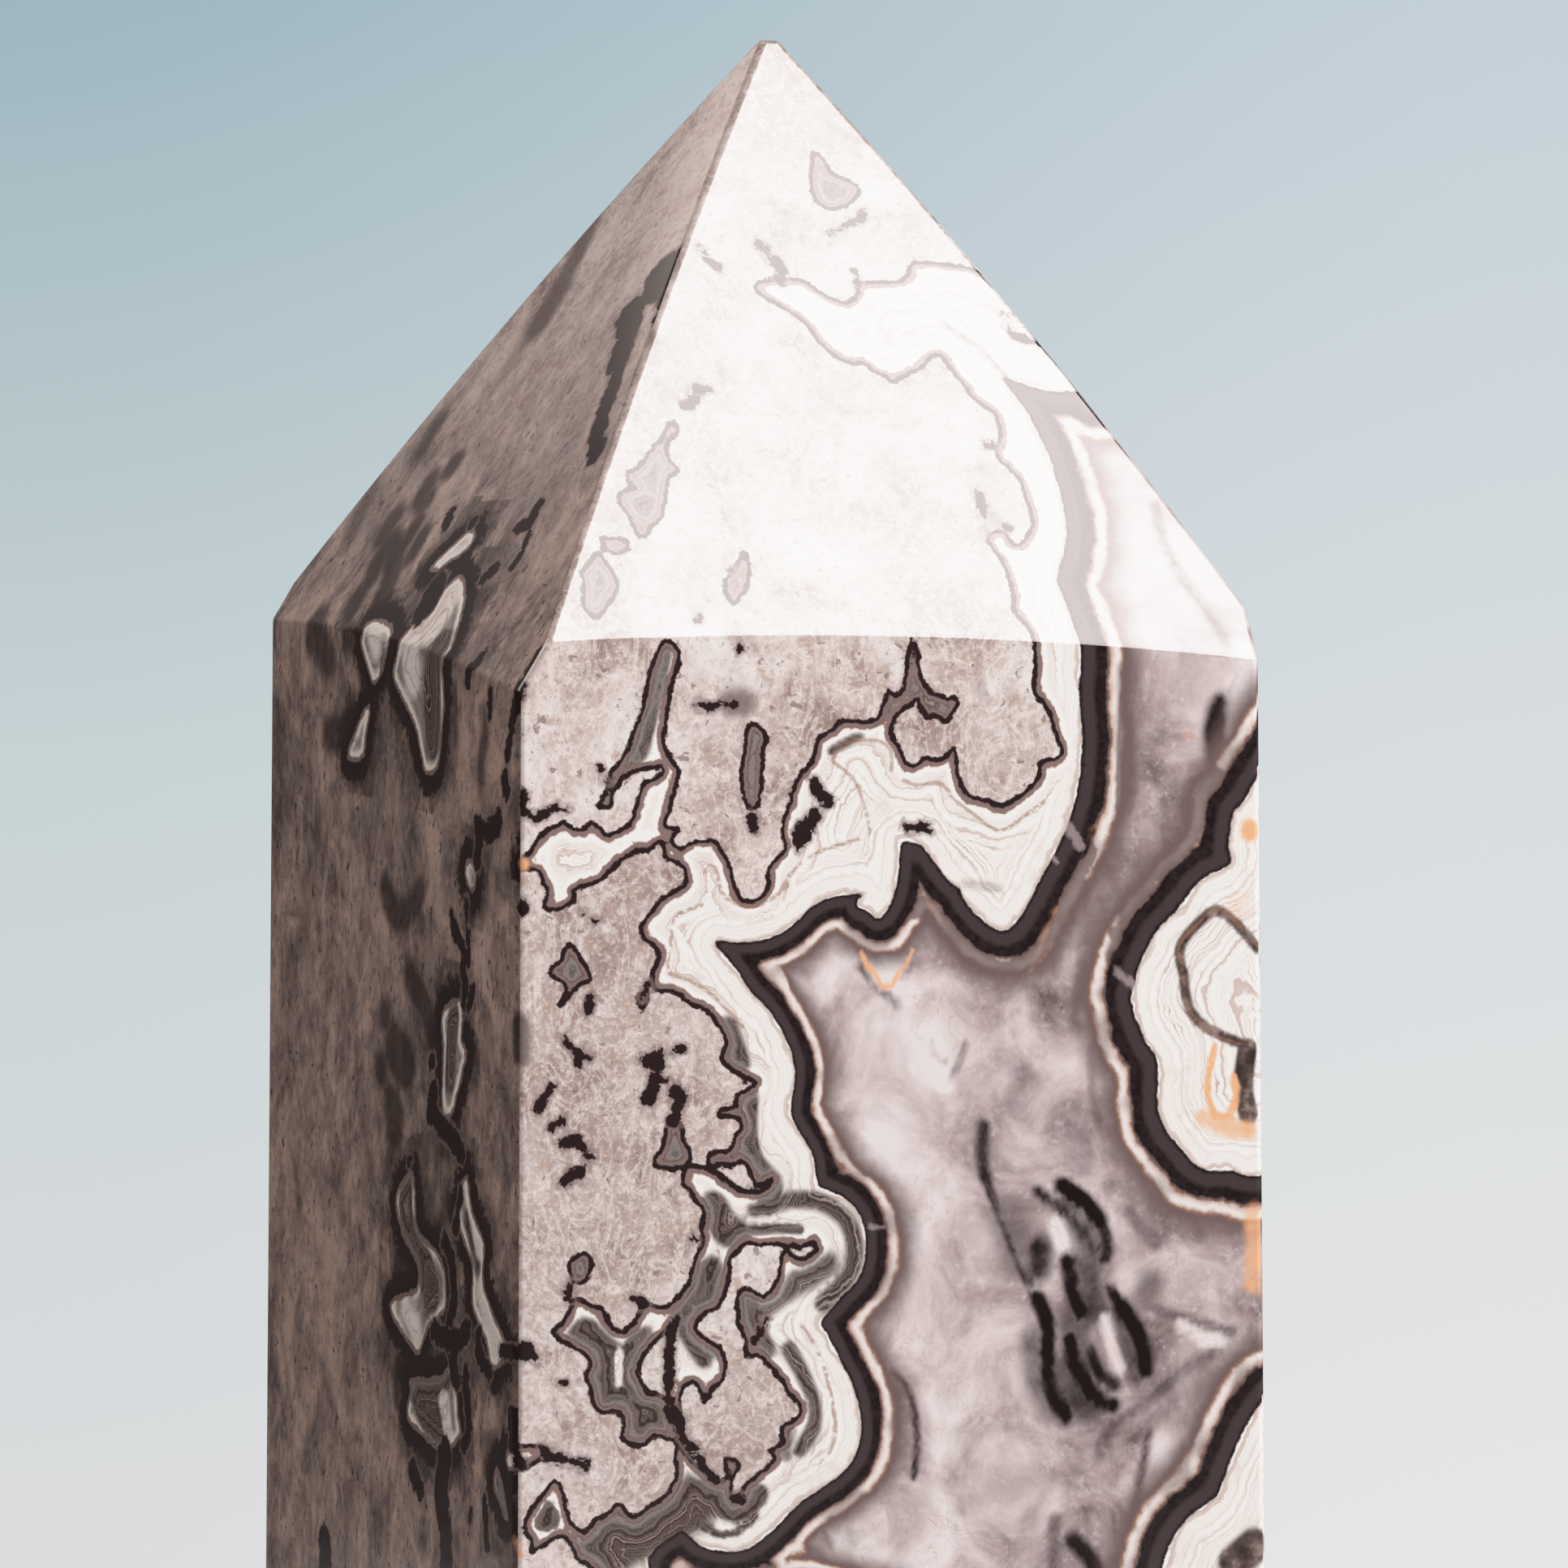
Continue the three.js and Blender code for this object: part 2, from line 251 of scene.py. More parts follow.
# Strokes, each as its half width in pixels and its points. Dark ones are sharp specks and threads in the stone.
DARK_STROKES = [
    (6, (727, 1232), (722, 1245)), (3, (718, 1126), (732, 1135)), (9, (642, 1118)), (6, (642, 980)),
    (3, (640, 990), (645, 1003), (662, 1008), (680, 997), (698, 995)), (2, (738, 943), (742, 955), (745, 965)),
    (5, (926, 1008), (928, 1020)), (4, (905, 868), (862, 870)), (5, (911, 797)),
    (4, (697, 1278), (705, 1292), (713, 1300), (727, 1302)), (4, (713, 1300), (712, 1315)),
    (5, (665, 1365), (672, 1350), (682, 1340)), (4, (680, 1390), (692, 1380)),
    (5, (692, 1408), (705, 1405), (718, 1415), (728, 1425)), (6, (697, 1455), (705, 1448), (715, 1445)),
    (7, (798, 1306), (810, 1300), (812, 1310)), (5, (832, 1294), (842, 1290)),
    (7, (812, 1330), (803, 1345), (798, 1356)), (7, (832, 1346), (838, 1352), (830, 1380)),
    (4, (706, 1580), (700, 1600)), (4, (800, 1215), (794, 1230)),
    (5, (638, 1660), (650, 1665), (660, 1672)), (5, (670, 1785), (680, 1795), (700, 1800), (722, 1805)),
    (9, (637, 1800)), (5, (855, 1525)), (4, (692, 1705)), (4, (778, 1600), (795, 1608)),
    (5, (1000, 962), (1022, 990)), (9, (985, 1038), (992, 1022), (1004, 1008)), (4, (1118, 1020), (1147, 1021)),
    (5, (834, 1625), (827, 1640), (824, 1670), (826, 1690), (823, 1715), (828, 1730), (838, 1748)),
    (4, (822, 1737), (850, 1780), (882, 1826)), (5, (905, 1846), (915, 1850)), (4, (942, 1628), (930, 1652)),
    (6, (937, 302), (945, 312), (955, 322), (962, 335), (962, 346)), (4, (860, 300), (868, 315), (887, 333)),
    (6, (860, 478), (852, 495), (845, 501)), (4, (866, 480), (872, 482)), (3, (1053, 335), (1056, 350)),
    (4, (1024, 285), (1040, 279), (1060, 270), (1063, 258)), (4, (1240, 390), (1244, 409), (1262, 419), (1290, 428)),
    (5, (1214, 549), (1228, 552)), (4, (1238, 648), (1243, 655)), (6, (857, 760), (860, 757)), (4, (901, 703)),
    (3, (1202, 605), (1212, 630), (1212, 662)),
]
DARK_STROKES_ON_LEFT = [
    (4, (592, 803), (583, 815), (577, 828), (577, 840)), (4, (655, 800), (637, 850), (633, 880), (625, 930)),
    (5, (556, 636), (552, 648)), (5, (610, 700), (597, 712)), (5, (585, 645)), (3, (604, 850), (603, 880)),
    (12, (535, 730), (525, 748)), (5, (622, 960), (625, 978)), (6, (588, 1018), (600, 1025), (615, 1012)),
    (6, (590, 1035), (588, 1060)), (3, (575, 1112), (574, 1132)),
    (4, (556, 1125), (560, 1145), (573, 1175), (570, 1195), (574, 1215), (571, 1240)),
    (3, (577, 1150), (577, 1190)), (4, (583, 1220), (577, 1240)), (5, (532, 1308)),
    (6, (535, 1345), (530, 1370), (552, 1395), (568, 1420)),
    (4, (505, 1430)), (4, (568, 1468), (561, 1515)), (5, (547, 1528), (556, 1550), (560, 1600), (555, 1625)),
    (6, (535, 1640), (560, 1655), (575, 1640)), (5, (590, 1645), (590, 1670), (602, 1690)),
    (6, (558, 1680), (562, 1700)), (5, (573, 1690), (578, 1755), (572, 1780)),
    (10, (548, 1795), (543, 1830), (548, 1880), (552, 1960)), (6, (508, 1812), (518, 1835)),
    (4, (597, 1850), (600, 1905)), (4, (580, 1865)), (5, (631, 1745), (631, 1778)), (4, (618, 1665), (640, 1668)),
    (14, (813, 338), (812, 350)), (4, (843, 303), (830, 315)), (4, (812, 362), (816, 375), (810, 392)),
    (11, (777, 385), (777, 405), (765, 440)), (7, (762, 460), (752, 490), (740, 520), (733, 560)),
    (5, (663, 625), (652, 645), (640, 650)), (3, (652, 660), (643, 680), (628, 700)),
]

# Soft stains, each as its half width in pixels, its depth and its points
STAINS = [
    (7, 0.8, (1212, 1388), (1210, 1425), (1214, 1450)),
    (5, 0.75, (1214, 1450), (1228, 1490), (1240, 1520), (1252, 1552), (1268, 1582)),
    (24, 0.5, (1238, 1505), (1258, 1545)), (14, 0.8, (1281, 1538), (1281, 1562)),
    (8, 1.0, (1278, 1600), (1289, 1625), (1291, 1660), (1292, 1700), (1302, 1728), (1314, 1748)),
    (18, 0.6, (1278, 1650), (1282, 1700), (1298, 1735)), (22, 0.68, (1312, 1690), (1335, 1732)),
    (8, 1.0, (1308, 1460), (1336, 1480), (1356, 1505)), (7, 0.85, (1356, 1505), (1364, 1530), (1362, 1550)),
    (6, 0.75, (1278, 1468), (1305, 1490), (1330, 1512), (1345, 1540)), (18, 0.62, (1318, 1485), (1350, 1540)),
    (9, 0.95, (1316, 1556), (1322, 1590), (1332, 1616)), (22, 0.7, (1338, 1560), (1344, 1615)),
    (6, 0.9, (1367, 1588), (1380, 1606)), (9, 1.0, (1384, 1612), (1400, 1638), (1409, 1662), (1411, 1688)),
    (14, 0.62, (1380, 1612), (1394, 1650), (1400, 1692)), (18, 0.6, (1322, 1625), (1332, 1680)),
    (8, 1.0, (1319, 1652), (1325, 1682), (1340, 1708), (1356, 1726), (1370, 1731)),
    (8, 0.85, (1342, 1664), (1352, 1688), (1372, 1706)), (18, 0.3, (1440, 1490), (1400, 1470)),
    (8, 0.5, (1393, 1492), (1406, 1514), (1424, 1532)), (14, 0.55, (1418, 1578), (1410, 1600)),
    (6, 0.55, (1408, 1606), (1450, 1622), (1482, 1630), (1515, 1640)),
    (7, 0.55, (1517, 1640), (1500, 1664), (1465, 1684), (1440, 1705), (1400, 1738), (1370, 1755), (1355, 1792)),
    (22, 0.35, (1470, 1690), (1420, 1740)), (10, 0.4, (1335, 1395), (1338, 1440)),
    (6, 0.65, (1417, 1766), (1411, 1800), (1402, 1838), (1396, 1878)), (7, 0.35, (1370, 1590), (1345, 1640)),
    (9, 0.95, (1322, 1898), (1342, 1918), (1365, 1965)), (7, 0.6, (1300, 1872), (1298, 1932)),
    (8, 0.95, (1537, 1292), (1533, 1320), (1532, 1345), (1538, 1372)),
    (14, 0.9, (1522, 1925), (1545, 1905)), (11, 0.9, (638, 1262), (640, 1300)), (4, 0.5, (1532, 818), (1512, 858)),
    (5, 0.45, (1344, 1290), (1346, 1350), (1356, 1385)), (4, 0.5, (1392, 880), (1393, 960), (1380, 1000)),
    (8, 0.5, (802, 412), (807, 445)), (6, 0.5, (846, 480), (864, 468)), (5, 0.45, (836, 312), (834, 350)),
    (5, 0.4, (790, 498), (783, 520)), (4, 0.4, (1160, 400), (1200, 425), (1240, 468)),
    (4, 0.4, (1318, 515), (1345, 570), (1358, 640), (1366, 787)),
    (11, 0.35, (1240, 1300), (1258, 1320), (1250, 1350), (1255, 1370)),
    (4, 0.45, (1148, 1285), (1150, 1300), (1165, 1308)), (4, 0.45, (1190, 1285), (1182, 1310), (1170, 1332)),
    (7, 0.55, (1335, 1190), (1330, 1220), (1328, 1250), (1325, 1265)), (11, 0.4, (1320, 1390), (1330, 1440)),
    (11, 0.95, (1504, 868), (1496, 900), (1500, 932)), (11, 0.35, (1270, 1865), (1265, 1890)),
    (4, 0.75, (1100, 1690), (1120, 1715), (1128, 1750), (1130, 1790), (1125, 1820)),
    (5, 0.6, (1060, 1190), (1080, 1215), (1095, 1228), (1105, 1238)), (4, 0.5, (1128, 1185), (1110, 1205)),
    (7, 0.3, (1190, 1088), (1230, 1095)), (14, 0.75, (902, 866), (915, 866)), (7, 0.4, (1205, 845), (1215, 862)),
    (10, 0.35, (752, 615), (765, 645)), (12, 0.25, (970, 732)), (8, 0.35, (908, 770)), (8, 0.35, (775, 762)),
    (4, 0.5, (884, 447), (890, 475)), (8, 0.3, (1095, 575), (1112, 620)), (7, 0.5, (1212, 622), (1230, 648)),
    (7, 0.6, (1425, 620), (1431, 655), (1446, 690), (1466, 720), (1491, 750), (1515, 790)),
    (5, 0.4, (1196, 681), (1213, 685)), (6, 0.5, (1020, 148), (1032, 158), (1065, 172)), (7, 0.25, (978, 252)),
]
STAINS_ON_LEFT = [
    (9, 0.9, (480, 668), (487, 690), (482, 715), (470, 740)), (7, 0.85, (515, 645), (505, 665)),
    (8, 0.85, (530, 595), (522, 612)), (7, 0.9, (480, 815), (475, 825)), (10, 0.85, (388, 778), (396, 795), (405, 812)),
    (8, 0.85, (405, 905), (425, 903), (432, 888)), (8, 0.85, (475, 1098), (490, 1130), (512, 1112), (517, 1098)),
    (8, 0.9, (505, 1203), (520, 1232), (534, 1272)), (12, 0.95, (485, 1290), (500, 1312)), (9, 0.85, (470, 1318)),
    (8, 0.8, (475, 1250)), (9, 0.9, (480, 1360), (490, 1372), (485, 1390)), (12, 0.95, (495, 1562), (498, 1578)),
    (5, 0.85, (492, 1685), (510, 1715), (525, 1715), (550, 1700)), (24, 0.4, (510, 1650), (540, 1700)),
    (16, 0.45, (600, 1030), (590, 1090)), (20, 0.4, (545, 1440), (550, 1560)), (14, 0.4, (520, 1400), (555, 1410)),
    (9, 0.8, (728, 272), (705, 325), (690, 350)), (12, 0.8, (685, 365), (665, 400)), (9, 0.4, (640, 440), (600, 490)),
    (8, 0.95, (560, 575)), (8, 0.9, (526, 620)), (9, 0.9, (485, 640), (474, 655)), (7, 0.9, (522, 662), (508, 685)),
    (8, 0.9, (464, 692), (458, 712)), (9, 0.9, (440, 735), (432, 752)), (9, 0.9, (388, 766), (384, 786)),
    (8, 0.8, (428, 785)), (9, 0.7, (540, 520), (520, 555)), (10, 0.5, (455, 600), (430, 660)), (9, 0.3, (745, 345), (735, 370)),
    (13, 0.3, (700, 480), (690, 495)), (9, 0.3, (652, 500), (640, 540), (630, 570)), (8, 0.35, (600, 595)),
    (11, 0.45, (620, 675)), (10, 0.85, (537, 800), (532, 850), (534, 905)), (4, 0.6, (507, 822), (507, 835)),
    (6, 0.6, (594, 880), (597, 905), (591, 955)), (7, 0.4, (640, 795), (622, 812)), (10, 0.4, (365, 960), (355, 1000)),
    (9, 0.4, (390, 1015), (395, 1060)), (9, 0.4, (375, 1080), (378, 1140), (362, 1170), (358, 1210)),
    (9, 0.45, (360, 850), (372, 875)), (22, 0.3, (500, 1030), (515, 1120), (535, 1200)), (24, 0.3, (510, 1300), (520, 1370)),
    (6, 0.8, (559, 1245), (556, 1290), (554, 1330)), (8, 0.85, (501, 1455), (500, 1500), (515, 1540)), (9, 0.9, (522, 1560), (532, 1590)),
    (9, 0.7, (500, 1608), (508, 1640)), (5, 0.6, (576, 1500), (588, 1560)),
    (12, 0.35, (530, 1430), (535, 1490)), (6, 0.5, (525, 1600), (526, 1615)), (11, 0.9, (522, 1722), (538, 1762)),
    (8, 0.35, (400, 1330), (415, 1440)), (9, 0.35, (350, 1280), (345, 1340)), (8, 0.3, (372, 1600), (360, 1680)),
    (5, 0.6, (614, 1825), (620, 1860)), (9, 0.3, (360, 1450), (365, 1500)), (10, 0.3, (455, 1440), (445, 1480)),
]

# Grey fills of the vein, in the same form
FILLS = [
    (18, 0.9, (722, 1652), (742, 1672), (742, 1700), (762, 1728)), (14, 0.9, (790, 1655), (783, 1690), (785, 1720)),
    (26, 1.0, (790, 1748), (800, 1766)), (18, 0.9, (873, 1576), (864, 1600), (848, 1622)),
    (13, 0.85, (878, 1488), (890, 1510), (906, 1522)), (9, 0.6, (850, 1648), (868, 1674)), (9, 0.6, (880, 1665)),
    (26, 0.75, (725, 1925), (765, 1895), (805, 1872), (848, 1852)), (5, 0.6, (906, 1520), (950, 1515), (985, 1515)),
    (11, 0.9, (866, 1838), (885, 1850), (908, 1858), (930, 1842)), (9, 0.5, (930, 1490), (965, 1482)),
    (9, 0.55, (975, 1478), (1008, 1480), (1040, 1500), (1052, 1530), (1050, 1560), (1036, 1584), (1014, 1606)),
    (14, 0.5, (935, 1612), (965, 1590), (1000, 1570), (1018, 1558)), (12, 0.8, (920, 1605), (926, 1640), (938, 1664)),
    (4, 0.6, (852, 1868), (868, 1883), (892, 1891), (915, 1883), (932, 1866)),
    (8, 0.55, (972, 1662), (990, 1695), (1002, 1730), (1002, 1760), (986, 1786)), (7, 0.6, (975, 1745), (966, 1792)),
    (11, 0.8, (814, 805), (803, 860), (790, 905), (775, 945), (752, 988)), (12, 0.85, (893, 1270), (907, 1312)),
    (10, 0.9, (920, 1345), (918, 1400), (930, 1440), (950, 1456), (946, 1482)), (10, 0.8, (880, 1430), (920, 1440)),
    (9, 0.7, (1076, 884), (1100, 860)), (14, 0.6, (1118, 845), (1160, 868)), (5, 0.5, (1024, 925), (1060, 905)),
    (5, 0.6, (1549, 1168), (1524, 1139), (1499, 1121), (1478, 1136), (1457, 1160), (1453, 1176), (1458, 1200),
     (1465, 1243), (1489, 1268), (1530, 1286)),
]

# Rust, each as its radius in pixels, its depth and its points
RUST = [
    (7, 0.9, (643, 1064)), (5, 0.5, (740, 1045)), (10, 1.0, (1540, 1022)), (20, 0.35, (1530, 1112)),
    (11, 0.7, (1484, 1378), (1512, 1390), (1535, 1392)), (10, 0.25, (1466, 1345)), (13, 0.7, (1545, 1500), (1548, 1580)),
    (8, 0.3, (1464, 905), (1470, 950)), (3, 0.8, (1062, 1176), (1080, 1205), (1093, 1218), (1108, 1200), (1124, 1172)),
    (4, 0.4, (1138, 1102), (1158, 1132)), (5, 0.4, (1300, 1120), (1268, 1200)),
    (4, 1.0, (1497, 1290), (1489, 1325), (1489, 1352), (1498, 1372), (1515, 1374), (1523, 1350), (1519, 1326)),
    (5, 0.35, (1345, 1020), (1335, 1055)), (5, 0.6, (632, 1900), (640, 1915)),
]

# Broad shades of the quartz and of the matrix, as radius, depth and points
CLOUDS = [
    (95, 0.85, (750, 1200), (735, 1540)), (60, 0.8, (890, 1740), (930, 1710)), (55, 0.6, (715, 1790), (780, 1830)),
    (45, 0.6, (1150, 900), (1250, 940)), (40, 0.5, (890, 880), (900, 960)), (50, 0.9, (950, 80), (960, 165)),
    (30, 1.0, (800, 520), (770, 640), (735, 750)), (18, 1.0, (870, 550), (884, 600), (905, 640)),
    (16, 0.9, (840, 700), (875, 745)), (22, 0.9, (840, 430), (815, 480)), (12, 0.9, (885, 450), (905, 480)),
    (22, 1.0, (1100, 575), (1120, 610)), (14, 0.8, (1150, 560), (1165, 580)), (20, 0.9, (1212, 590), (1216, 650)),
    (14, 0.8, (968, 732), (985, 742)), (12, 0.8, (905, 772)), (20, 0.7, (1130, 700), (1140, 740)),
    (26, 0.7, (985, 290), (960, 262)), (26, 0.6, (880, 360), (860, 400)), (18, 0.7, (1035, 520), (1000, 500)),
    (45, 0.75, (1405, 830), (1410, 960), (1385, 1090)), (35, 0.6, (1350, 1080), (1310, 1200), (1290, 1230)),
    (18, 0.9, (1496, 960), (1462, 1030), (1415, 1085), (1372, 1172)), (16, 0.9, (1392, 850), (1388, 1000)),
    (14, 0.9, (1080, 1150), (1125, 1120), (1150, 1122), (1200, 1175), (1240, 1195), (1285, 1160), (1340, 1050)),
    (40, 0.45, (1250, 1310), (1240, 1380)),
    (45, 0.6, (1330, 1390), (1390, 1450), (1450, 1530)), (50, 0.6, (1480, 1500), (1520, 1600), (1480, 1640)),
    (55, 0.5, (1300, 1560), (1350, 1680)), (40, 0.5, (1440, 1580), (1420, 1700)),
    (45, 0.45, (1250, 1780), (1330, 1850), (1280, 1920)), (30, 0.6, (1085, 1840), (1120, 1880)),
    (20, 0.7, (1110, 1700), (1115, 1800)), (40, 0.4, (1190, 1150), (1230, 1220)),
    (35, 0.7, (1385, 1790), (1350, 1900), (1370, 2000)), (60, 0.4, (1250, 2250), (1350, 2500), (1300, 2800)),
]

# Pale patches, as radius, strength and points
PALE_PATCHES = [
    (6, 1.0, (1301, 1508), (1308, 1530)), (5, 1.0, (1361, 1625), (1369, 1655), (1380, 1686)),
    (10, 0.9, (1432, 1780), (1428, 1830)), (5, 0.9, (1508, 1655), (1480, 1648), (1455, 1632)), (14, 0.7, (1540, 800), (1530, 870)),
    (5, 0.8, (1300, 1115), (1268, 1200)), (5, 0.7, (1345, 1030), (1330, 1065)), (12, 1.0, (1092, 1185), (1092, 1198)),
    (8, 0.9, (1510, 1340), (1508, 1360)), (25, 0.5, (1130, 1290), (1090, 1400)), (8, 0.8, (1370, 1190), (1340, 1250)),
    (4, 1.0, (762, 1668), (762, 1705)), (8, 0.6, (1150, 1310), (1165, 1340)), (10, 1.0, (1536, 862), (1526, 905)),
]
PALE_ON_LEFT = [
    (8, 1.0, (508, 785), (508, 830)), (7, 1.0, (562, 730), (535, 772)), (6, 1.0, (462, 775), (463, 792)),
    (6, 0.9, (500, 1612), (512, 1640)), (4, 1.0, (592, 1590), (612, 1660)), (5, 0.9, (546, 1725), (552, 1770)),
    (5, 0.8, (572, 680), (550, 695)), (4, 0.8, (575, 1460), (590, 1540)),
]

# Small faults that cross the dark band, in the same form
FAULTS = [
    (6, 1.0, (1310, 1008), (1330, 1042)), (5, 1.0, (1372, 1192), (1400, 1218)), (3, 1.0, (1072, 1511), (1098, 1516)),
    (3, 1.0, (1286, 1042), (1302, 1062)), (5, 0.9, (1120, 1032), (1150, 1034)),
]

# Thin brown lines, each by its points
THREADS = [
    [(1025, 938), (1040, 915), (1080, 912), (1098, 925), (1098, 950)],
    [(1028, 940), (1052, 960), (1062, 985), (1070, 1015), (1068, 1030), (1020, 1045), (985, 1064), (962, 1096)],
    [(868, 1075), (876, 1066), (884, 1076), (888, 1098), (905, 1113), (930, 1117), (950, 1108), (972, 1090)],
    [(865, 1115), (835, 1127), (828, 1145), (826, 1170), (823, 1198), (850, 1208), (880, 1228), (915, 1265)],
    [(985, 1630), (1000, 1650), (1017, 1690), (1030, 1755), (1022, 1790), (1000, 1810)],
    [(1552, 1168), (1524, 1137), (1499, 1119), (1478, 1136), (1456, 1158), (1452, 1172), (1457, 1195), (1464, 1243),
     (1489, 1268), (1500, 1278), (1530, 1287)],
    [(1110, 960), (1130, 968), (1160, 965), (1175, 985), (1200, 1003), (1232, 1025), (1262, 1005), (1290, 985)],
    [(870, 570), (885, 600), (888, 625), (896, 645), (912, 660)],
]


class Side:
    """A side of the stone or a facet of its tip: its plane, and where it lies in the net."""

    def __init__(self, normal, point):
        self.normal = normal / np.linalg.norm(normal)
        self.point = point

    def meet(self, origins, rays):
        """Where rays meet the plane."""
        reach = ((self.point - origins) @ self.normal) / (rays @ self.normal)
        return origins + rays * reach[:, None]


class Net:
    """Folds the stone's faces out flat."""

    def __init__(self, places, triangles):
        corners = places[triangles]
        cross = np.cross(corners[:, 1] - corners[:, 0], corners[:, 2] - corners[:, 0])
        self.areas = np.linalg.norm(cross, axis=1)
        self.normals = cross / self.areas[:, None]
        self.middles = corners.mean(axis=1)
        self.sides = {name: self.side(turn) for name, turn in SIDE_TURNS.items()}
        self.facets = {name: self.facet(turn) for name, turn in SIDE_TURNS.items()}
        self.hinges = {name: self.hinge(name) for name in SIDE_TURNS}

    def plane(self, chosen):
        weights = self.areas * chosen
        return Side(weights @ self.normals, weights @ self.middles / weights.sum())

    def side(self, turn):
        return self.plane(self.normals @ towards(turn, 0) > math.cos(math.radians(3)))

    def facet(self, turn):
        return self.plane(self.normals @ towards(turn, 33) > math.cos(math.radians(12)))

    def along(self, name):
        """The level direction in which the net's first coordinate grows on a side."""
        return towards(SIDE_TURNS[name] + 90, 0)

    def place_on_side(self, name, points):
        side = self.sides[name]
        level = side.normal * [1, 1, 0]
        halves = ((side.point @ side.normal) - points[:, 2] * side.normal[2]) / np.linalg.norm(level)
        across = points @ self.along(name) / halves * SIDE_WIDTH / 2
        return np.column_stack([across + SIDE_WIDTH * SIDE_ORDER[name], points[:, 2]])

    def hinge(self, name):
        """The line where a side meets its facet, in space and in the net."""
        side, facet = self.sides[name], self.facets[name]
        line = np.cross(side.normal, facet.normal)
        line *= np.sign(line @ self.along(name)) / np.linalg.norm(line)
        rows = np.array([side.normal, facet.normal, self.along(name)])
        start = np.linalg.solve(rows, [side.normal @ side.point, facet.normal @ facet.point, 0])
        flat = self.place_on_side(name, np.array([start, start + line]))
        step = (flat[1] - flat[0]) / np.linalg.norm(flat[1] - flat[0])
        return start, line, flat[0], step

    def place_on_facet(self, name, points):
        start, line, flat, step = self.hinges[name]
        upward = np.cross(self.facets[name].normal, line)
        offsets = points - start
        return flat + np.outer(offsets @ line, step) + np.outer(offsets @ upward, [-step[1], step[0]])

    def place_on_foot(self, points):
        return np.column_stack([points[:, 0], -points[:, 1] - SIDE_WIDTH / 2])

    def group_of_triangles(self):
        """The name of the face that each triangle belongs to, as side, facet or foot."""
        turns = np.degrees(np.arctan2(self.normals[:, 1], self.normals[:, 0]))
        names = np.empty(len(turns), dtype=object)
        for name, turn in SIDE_TURNS.items():
            near = np.abs((turns - turn + 180) % 360 - 180) <= 45
            names[near] = name
            names[near & (self.normals[:, 2] > math.sin(math.radians(17)))] = name + " facet"
        names[self.normals[:, 2] < -math.sin(math.radians(45))] = "foot"
        return names

    def place(self, group, points):
        """Net coordinates, in millimetres, of points that belong to one named face."""
        if group == "foot":
            return self.place_on_foot(points)
        if group.endswith(" facet"):
            return self.place_on_facet(group[:-len(" facet")], points)
        return self.place_on_side(group, points)

    def from_photo(self, name, pixels):
        """Net coordinates of what the photograph shows at some pixels, on one side or its facet."""
        rays = camera_rays(np.array(pixels, float))
        origins = np.tile(camera_place(), (len(rays), 1))
        on_side = self.sides[name].meet(origins, rays)
        on_facet = self.facets[name].meet(origins, rays)
        start, line, _, _ = self.hinges[name]
        upward = np.cross(self.sides[name].normal, line)
        above = ((on_side - start) @ upward > 0)[:, None]
        return np.where(above, self.place_on_facet(name, on_facet), self.place_on_side(name, on_side))


def towards(turn, lift):
    """A direction from its angle about the vertical and its angle above level, in degrees."""
    turn, lift = math.radians(turn), math.radians(lift)
    return np.array([math.cos(turn) * math.cos(lift), math.sin(turn) * math.cos(lift), math.sin(lift)])


def camera_axes():
    """The camera's directions to its right and forward."""
    turn = math.radians(CAMERA_TURN)
    return np.array([math.cos(turn), math.sin(turn), 0]), np.array([-math.sin(turn), math.cos(turn), 0])


def camera_place():
    right, forward = camera_axes()
    return right * CAMERA_ASIDE - forward * CAMERA_DISTANCE + [0, 0, CAMERA_HEIGHT]


def camera_rays(pixels):
    right, forward = camera_axes()
    across = (pixels[:, :1] - PHOTO_PIXELS / 2) / FOCAL_PIXELS
    upward = (PHOTO_PIXELS / 2 - pixels[:, 1:]) / FOCAL_PIXELS
    return forward + across * right + upward * [0, 0, 1]


# How the markings of the sides in view are carried on to the hidden ones, as two shifts in the net
HALF_TURN = np.array([40.0, 71.0])  # where the front's points go, less their own place
BACK_SHIFT = np.array([3.3 * SIDE_WIDTH, 6.0])  # where the left side's markings go on the back
BACK_STRETCH = np.array([1.3, 0.8])
LEFT_SHIFT = -60.0
SIDE_HEIGHT = 71.0

FINEST_SHARP = 0.22  # the mesh's shortest edges where the photograph is sharp, in millimetres
FINEST_IN_VIEW = 0.35  # where it is soft or slanting
FINEST_HIDDEN = 1.1
COARSEST = 3.0
GROWTH = 1.0  # how fast edges lengthen away from the markings
ROUNDS = 26
NEAR = 1.4  # how far from a small mark its distance still matters
WIDE = 3.0  # and how far from an island in the vein
FAR = -9.0  # what stands for its distance beyond that
SOFT_EDGE = 2.1  # how far soft strokes reach, in their own widths
SOFT_FADE = 1.5  # over how much of that they fade
BLUR_FROM = -2.6  # the dark band is wider to the right of here in the net
BLUR_OVER = 9.2
BLUR_WIDENS = 0.45
DIM_SPREAD = 4.0  # how much further out the veins' outlines reach on the dim sides
GREY = 1.0  # how strongly the front's hollows are filled with grey
GREY_FROM = 0.12
DIM_GREYNESS = 0.38  # and the dim sides' hollows, inside a cream line
DIM_GREY_AT = 0.3
BLOCK = 4000


def rounded(points):
    """A closed outline with a point added on the curve between each two."""
    before, after, last = np.roll(points, 1, 0), np.roll(points, -1, 0), np.roll(points, -2, 0)
    middles = (9 * (points + after) - before - last) / 16
    return np.stack([points, middles], axis=1).reshape(-1, 2)


